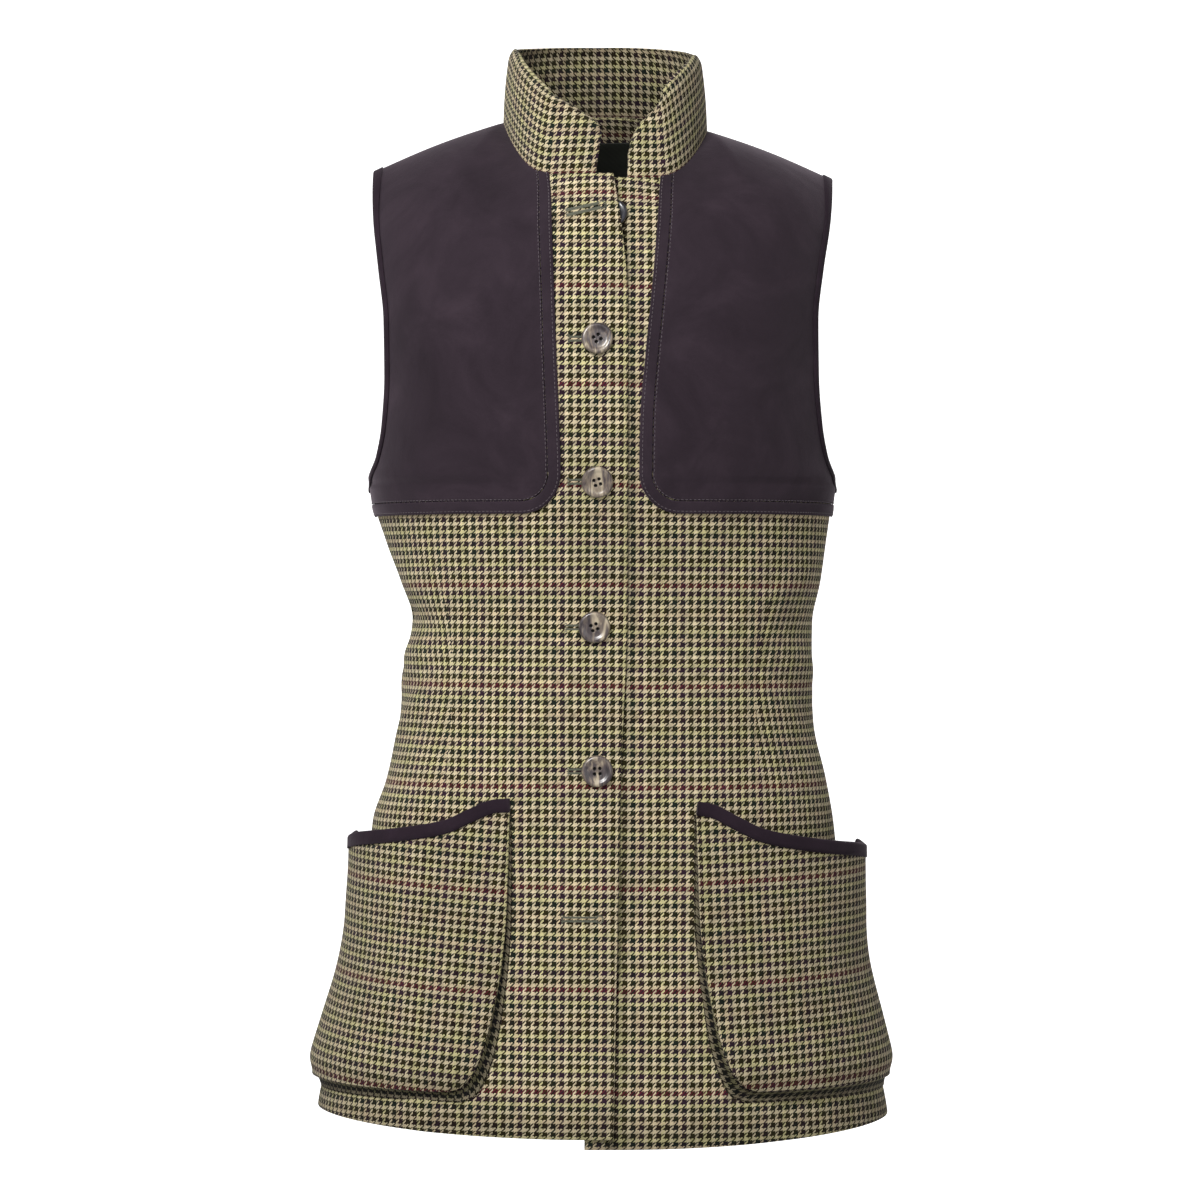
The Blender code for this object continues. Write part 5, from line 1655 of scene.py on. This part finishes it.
for side in (RIGHT, LEFT):
    word = WORD[side]
    up, out = np.meshgrid(POCKET_UPS, POCKET_OUTS, indexing="ij")
    z = POCKET_FOOT + up * (smooth(out, MOUTH, word) - POCKET_FOOT)
    inner = smooth(z, POCKET_SIDE, "inner")
    seam = body_ring(side, z.ravel())[2].reshape(z.shape)
    place = inner + out * (seam + smooth(z, POCKET_SIDE, "past_seam") - inner)
    skin, skin_normals = on_body(side, place, z)
    share = 1 - fade(out, 0.0, BELLOWS_TURN)
    inner_depth, outer_depth = smooth(up, BELLOWS, "inner"), smooth(up, BELLOWS, word)
    depth = inner_depth + (outer_depth - inner_depth) * share
    depth += POCKET_BULGE * np.sin(np.pi * out) * np.sin(np.pi * (BULGE_START + BULGE_SPAN * up))
    depth -= roll_in(z - POCKET_FOOT, *FOOT_ROLL) + roll_in(place - inner, *SIDE_ROLL) * (1 - up)
    inside = np.sin(np.pi * out) * np.sin(np.pi * np.clip(up, 0, 0.95))
    depth += fold_height(POCKET_FOLDS, out, up) * inside
    pocket = Panel(skin + depth[..., None] * skin_normals, skin_normals)
    slant = POCKET_SLANT[side]
    across = lengths(pocket.points * (1, 1, 0), axis=1) + place[:, :1] - slant * (z - POCKET_FOOT)
    level = z - ROWS[0] + fronts[side].flat[0, STAND_CELLS, 1]
    level += POCKET_CHECK_DROP + slant * (place - place.min())
    flat = np.stack([across, level], axis=-1)
    inner_face = pocket.points - CLOTH * pocket.normals
    made = wall(pocket.points, inner_face, check_places(flat, "pocket_" + word))
    name = "pocket_" + word
    finishes = [TWEED, LINING_CLOTH]
    piece = add_piece(name + "_cloth", name, "tweed", *made[:3], finishes, made[3])
    declare_sheet(piece, pocket.points)
    # Painted shade: a little over the whole pocket, more near its foot, and more on its inner face.
    shade = POCKET_SHADE + FOOT_SHADE * np.exp(-((up / FOOT_SHADE_WIDTH) ** 2))
    set_painted_shade(piece, wall_painted_shade(shade, INSIDE_SHADE["pocket"], len(made[0])))

    top, top_normals = pocket.points[-1], pocket.normals[-1]
    up_way = edge_ways(top, top_normals, np.tile((0, 0, 1.0), (len(top), 1)))
    section = hairpin(MOUTH_LEG, MOUTH_WIDTH, np.full(len(top), 1.0), -CLOTH - 0.9, MOUTH_SKIN)
    made = carry_section(top, top_normals, up_way, section)
    name = "pocket_binding_" + word
    piece = add_piece(name + "_suede", name, "suede", *made, [SUEDE_SHADED])
    flat = (float(lengths(top)[-1]) * MM, BINDING_CUT)

    inner_spread = smooth(up, GUSSET_SPREAD, "inner")
    outer_spread = smooth(up, GUSSET_SPREAD, "outer")
    wider = outline(place - inner_spread * (1 - out) + outer_spread * out)
    foot, normal = on_body(side, wider, outline(z - smooth(up, GUSSET_SPREAD, "foot")))
    middle = skin[len(POCKET_UPS) // 2, len(POCKET_OUTS) // 2]
    inward = edge_ways(foot, normal, middle - foot)
    head = outline(pocket.points) - (CLOTH + SEAM_GAP) * outline(pocket.normals)
    t = np.linspace(0, 1, GUSSET_ACROSS + 1)[:, None, None]
    fold = np.sin(np.pi * t)
    outer = (1 - t) * (foot + GUSSET_FOOT * normal) + t * head + GUSSET_FOLD * fold * inward
    flat = np.stack([np.broadcast_to(lengths(foot), outer.shape[:2]), lengths(outer, 0)], axis=-1)
    made = wall(outer, outer + GUSSET_WALL * inward, check_places(flat, "gusset_" + word))
    name = "pocket_gusset_" + word
    piece = add_piece(name + "_cloth", name, "tweed", *made[:3], [TWEED])
    declare_sheet(piece, outer)
    # Painted shade: the gusset is dark all over, darkest in the middle of its fold.
    edge_shade, fold_shade = GUSSET_SHADE
    shade = np.broadcast_to(edge_shade + fold_shade * fold[..., 0], outer.shape[:2])
    set_painted_shade(piece, wall_painted_shade(shade, shade, len(made[0]), rim=edge_shade))

# %% [markdown]
# A horn button is turned on a lathe and drilled with four holes. The turned face is a
# profile carried round an axis. Drilling with a Boolean would work too, but a height that
# drops steeply near each hole's middle makes the same pits in one array.

# %% Buttons
BUTTON_SEAT = 0.8
HOLE_RADIUS, HOLE_OFFSET, HOLE_DEPTH = 1.15, 2.6, 1.7
FACE_TURNS = 72
FACE_RADII = np.concatenate([np.linspace(0.05, 4.6, 24), np.linspace(4.9, 11.0, 10)])
BUTTON_UNDER = ((10.4, 0.6), (9.0, 0.0), (0.05, 0.0))  # radius and height of the rings below
BUTTON_TURNS = (12, 32, 18, 20, 2, 30)  # degrees by which each button is turned
FacePoint = namedtuple("FacePoint", "radius height")
BUTTON_FACE = (
    FacePoint(0.0, 2.15),
    FacePoint(4.0, 2.2),
    FacePoint(6.6, 2.35),
    FacePoint(7.8, 2.9),
    FacePoint(8.8, 3.25),
    FacePoint(9.8, 3.1),
    FacePoint(10.6, 2.5),
    FacePoint(11.0, 1.5),
)


def to_hole(x, y):
    """Distance to the nearest of the four holes."""
    angles = np.pi / 4 + np.arange(4) * np.pi / 2
    far = [np.hypot(x - HOLE_OFFSET * np.cos(a), y - HOLE_OFFSET * np.sin(a)) for a in angles]
    return np.min(far, axis=0)


def button_grid():
    """Rings from the middle of the face out over the rim and back under, pits at the holes.

    Near a hole the height falls by the hole's depth times a soft step of the distance.
    """
    under_radii, under_heights = np.array(BUTTON_UNDER).T
    radius = np.concatenate([FACE_RADII, under_radii])[:, None]
    height = np.concatenate([smooth(FACE_RADII, BUTTON_FACE, "height"), under_heights])[:, None]
    turn = 2 * np.pi * np.arange(FACE_TURNS) / FACE_TURNS
    x, y = radius * np.cos(turn), radius * np.sin(turn)
    pit = HOLE_DEPTH * fade(to_hole(x, y), HOLE_RADIUS * 0.82, HOLE_RADIUS * 1.12)
    pit[len(FACE_RADII) :] = 0
    return np.stack([x, y, height - pit], axis=-1)


def in_holes(points, quads):
    """Which faces of a button lie in its holes."""
    middle = points[quads].mean(axis=1)
    return (to_hole(middle[:, 0], middle[:, 1]) < HOLE_RADIUS) & (middle[:, 2] > 0)


def ring_quads(rows, columns):
    """Quads of rings that close round, with both ends closed by strips across."""
    index = np.arange(rows * columns).reshape(rows, columns)
    after = np.roll(index, -1, axis=1)
    body = np.stack([index[:-1], after[:-1], after[1:], index[1:]], axis=-1).reshape(-1, 4)
    half = columns // 2
    ladder = np.arange(half - 1)
    caps = []
    for row, flip in ((index[0], -1), (index[-1], 1)):
        one, other = row[ladder], row[columns - 1 - ladder]
        two, three = row[ladder + 1], row[columns - 2 - ladder]
        caps.append(np.column_stack([one, two, three, other])[:, ::flip])
    return np.vstack([body, *caps])


def stand_row(panel, z, level):
    """Row of heights on the button stand, among the yoke's rows if level is above the chest."""
    if level <= CHEST:
        return panel.row_at(z)
    last = len(ROWS) - 1
    yoke_z = panel.points[last:, STAND_CELLS // 2, 2]
    return last + np.interp(z, yoke_z, np.arange(len(YOKE) + 1))


def button_place(number):
    """Seat and axes of a button on the front that carries it: across, up and out."""
    button = BUTTONS[number]
    side = LEFT if button.under else RIGHT
    panel = fronts[side]
    row = stand_row(panel, button.z, button.z)
    seat, normal = panel.at(row, button.x * side, "x")
    across = unit(np.cross((0, 0, 1.0), normal))
    return seat, across, np.cross(normal, across), normal


grid = button_grid()
local = grid.reshape(-1, 3)
face_quads = ring_quads(*grid.shape[:2])
face_finish = in_holes(local, face_quads)
no_places = np.zeros((len(face_quads), 4, 2))
for number in range(len(BUTTONS)):
    seat, across, upwards, normal = button_place(number)
    turn = np.radians(BUTTON_TURNS[number])
    first = np.cos(turn) * across + np.sin(turn) * upwards
    second = np.cross(normal, first)
    points = seat + BUTTON_SEAT * normal + local @ np.array([first, second, normal])
    name = f"button_{number + 1}"
    # The top button gets the horn with painted shade.
    finishes = [HORN if number else HORN_SHADED, PIT]
    add_piece(name + "_horn", name, "horn", points, face_quads, no_places, finishes, face_finish)

# %% [markdown]
# A tailored buttonhole is a slit with a row of close stitches round it, a bar across one
# end and a rounder eye at the other. The stitches stand square to a line that runs round
# the slit, so the line is worked out first and the stitches are set along it.

# %% Buttonholes
HOLE_LENGTH = 27.0
SLIT_HALF = 0.35
EYE_RADIUS = 1.5
HOLE_PITCH = 0.62
HOLE_THICKNESS, HOLE_RISE = 0.34, 0.3
BAR_WIDTHS = (-0.9, 1.1)  # the bar's stitches reach this far to both sides
Hole = namedtuple("Hole", "left z tilt stitch")  # tilt in degrees, the rest in millimetres
HOLES = (
    Hole(-25.5, -69.0, 14.0, 2.8),
    Hole(-23.5, -158.0, 0.0, 1.9),
    Hole(-24.0, -256.0, 0.0, 1.9),
    Hole(-25.5, -357.0, 0.0, 1.9),
    Hole(-24.0, -457.0, 0.0, 1.9),
    Hole(-28.0, -559.0, 0.0, 1.9),
)


def hole_line():
    """The slit's outline in its own plane: two straight sides and a round eye at the right end."""
    eye_x = HOLE_LENGTH - EYE_RADIUS
    open_angle = np.arcsin(SLIT_HALF / EYE_RADIUS)
    turn = np.linspace(-np.pi + open_angle, np.pi - open_angle, 41)
    eye = np.column_stack([eye_x + EYE_RADIUS * np.cos(turn), EYE_RADIUS * np.sin(turn)])
    lower = np.array([[0.0, -SLIT_HALF]])
    upper = np.array([[0.0, SLIT_HALF]])
    return np.vstack([lower, eye, upper])


line = hole_line()
run = lengths(line)
even = np.arange(0, run[-1], HOLE_PITCH)
slit = np.column_stack([np.interp(even, run, line[:, k]) for k in range(2)])
ahead = np.gradient(slit, axis=0)
outwards = unit(np.column_stack([ahead[:, 1], -ahead[:, 0]]))
bar = np.column_stack([np.full(5, -0.4), np.linspace(-2.6, 2.6, 5)])
for number, hole in enumerate(HOLES, start=1):
    inner = np.vstack([slit, bar + (BAR_WIDTHS[0], 0)])
    outer = np.vstack([slit + hole.stitch * outwards, bar + (BAR_WIDTHS[1], 0)])
    turn = np.radians(hole.tilt)
    both = []
    for along, up in (inner.T, outer.T):
        x = hole.left + along * np.cos(turn) - up * np.sin(turn)
        z = hole.z + along * np.sin(turn) + up * np.cos(turn)
        both.append(fronts[RIGHT].at(stand_row(fronts[RIGHT], z, hole.z), -x, "x"))
    threads = stitch_mesh(both[0][0], both[1][0], both[0][1], HOLE_THICKNESS, HOLE_RISE)
    add_threads(f"buttonhole_{number}", [threads], HOLE_THREAD, "tweed")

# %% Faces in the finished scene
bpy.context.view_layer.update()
shown = [thing for thing in bpy.data.objects if thing.type == "MESH" and not thing.hide_render]
print("faces", sum(len(thing.data.polygons) for thing in shown))
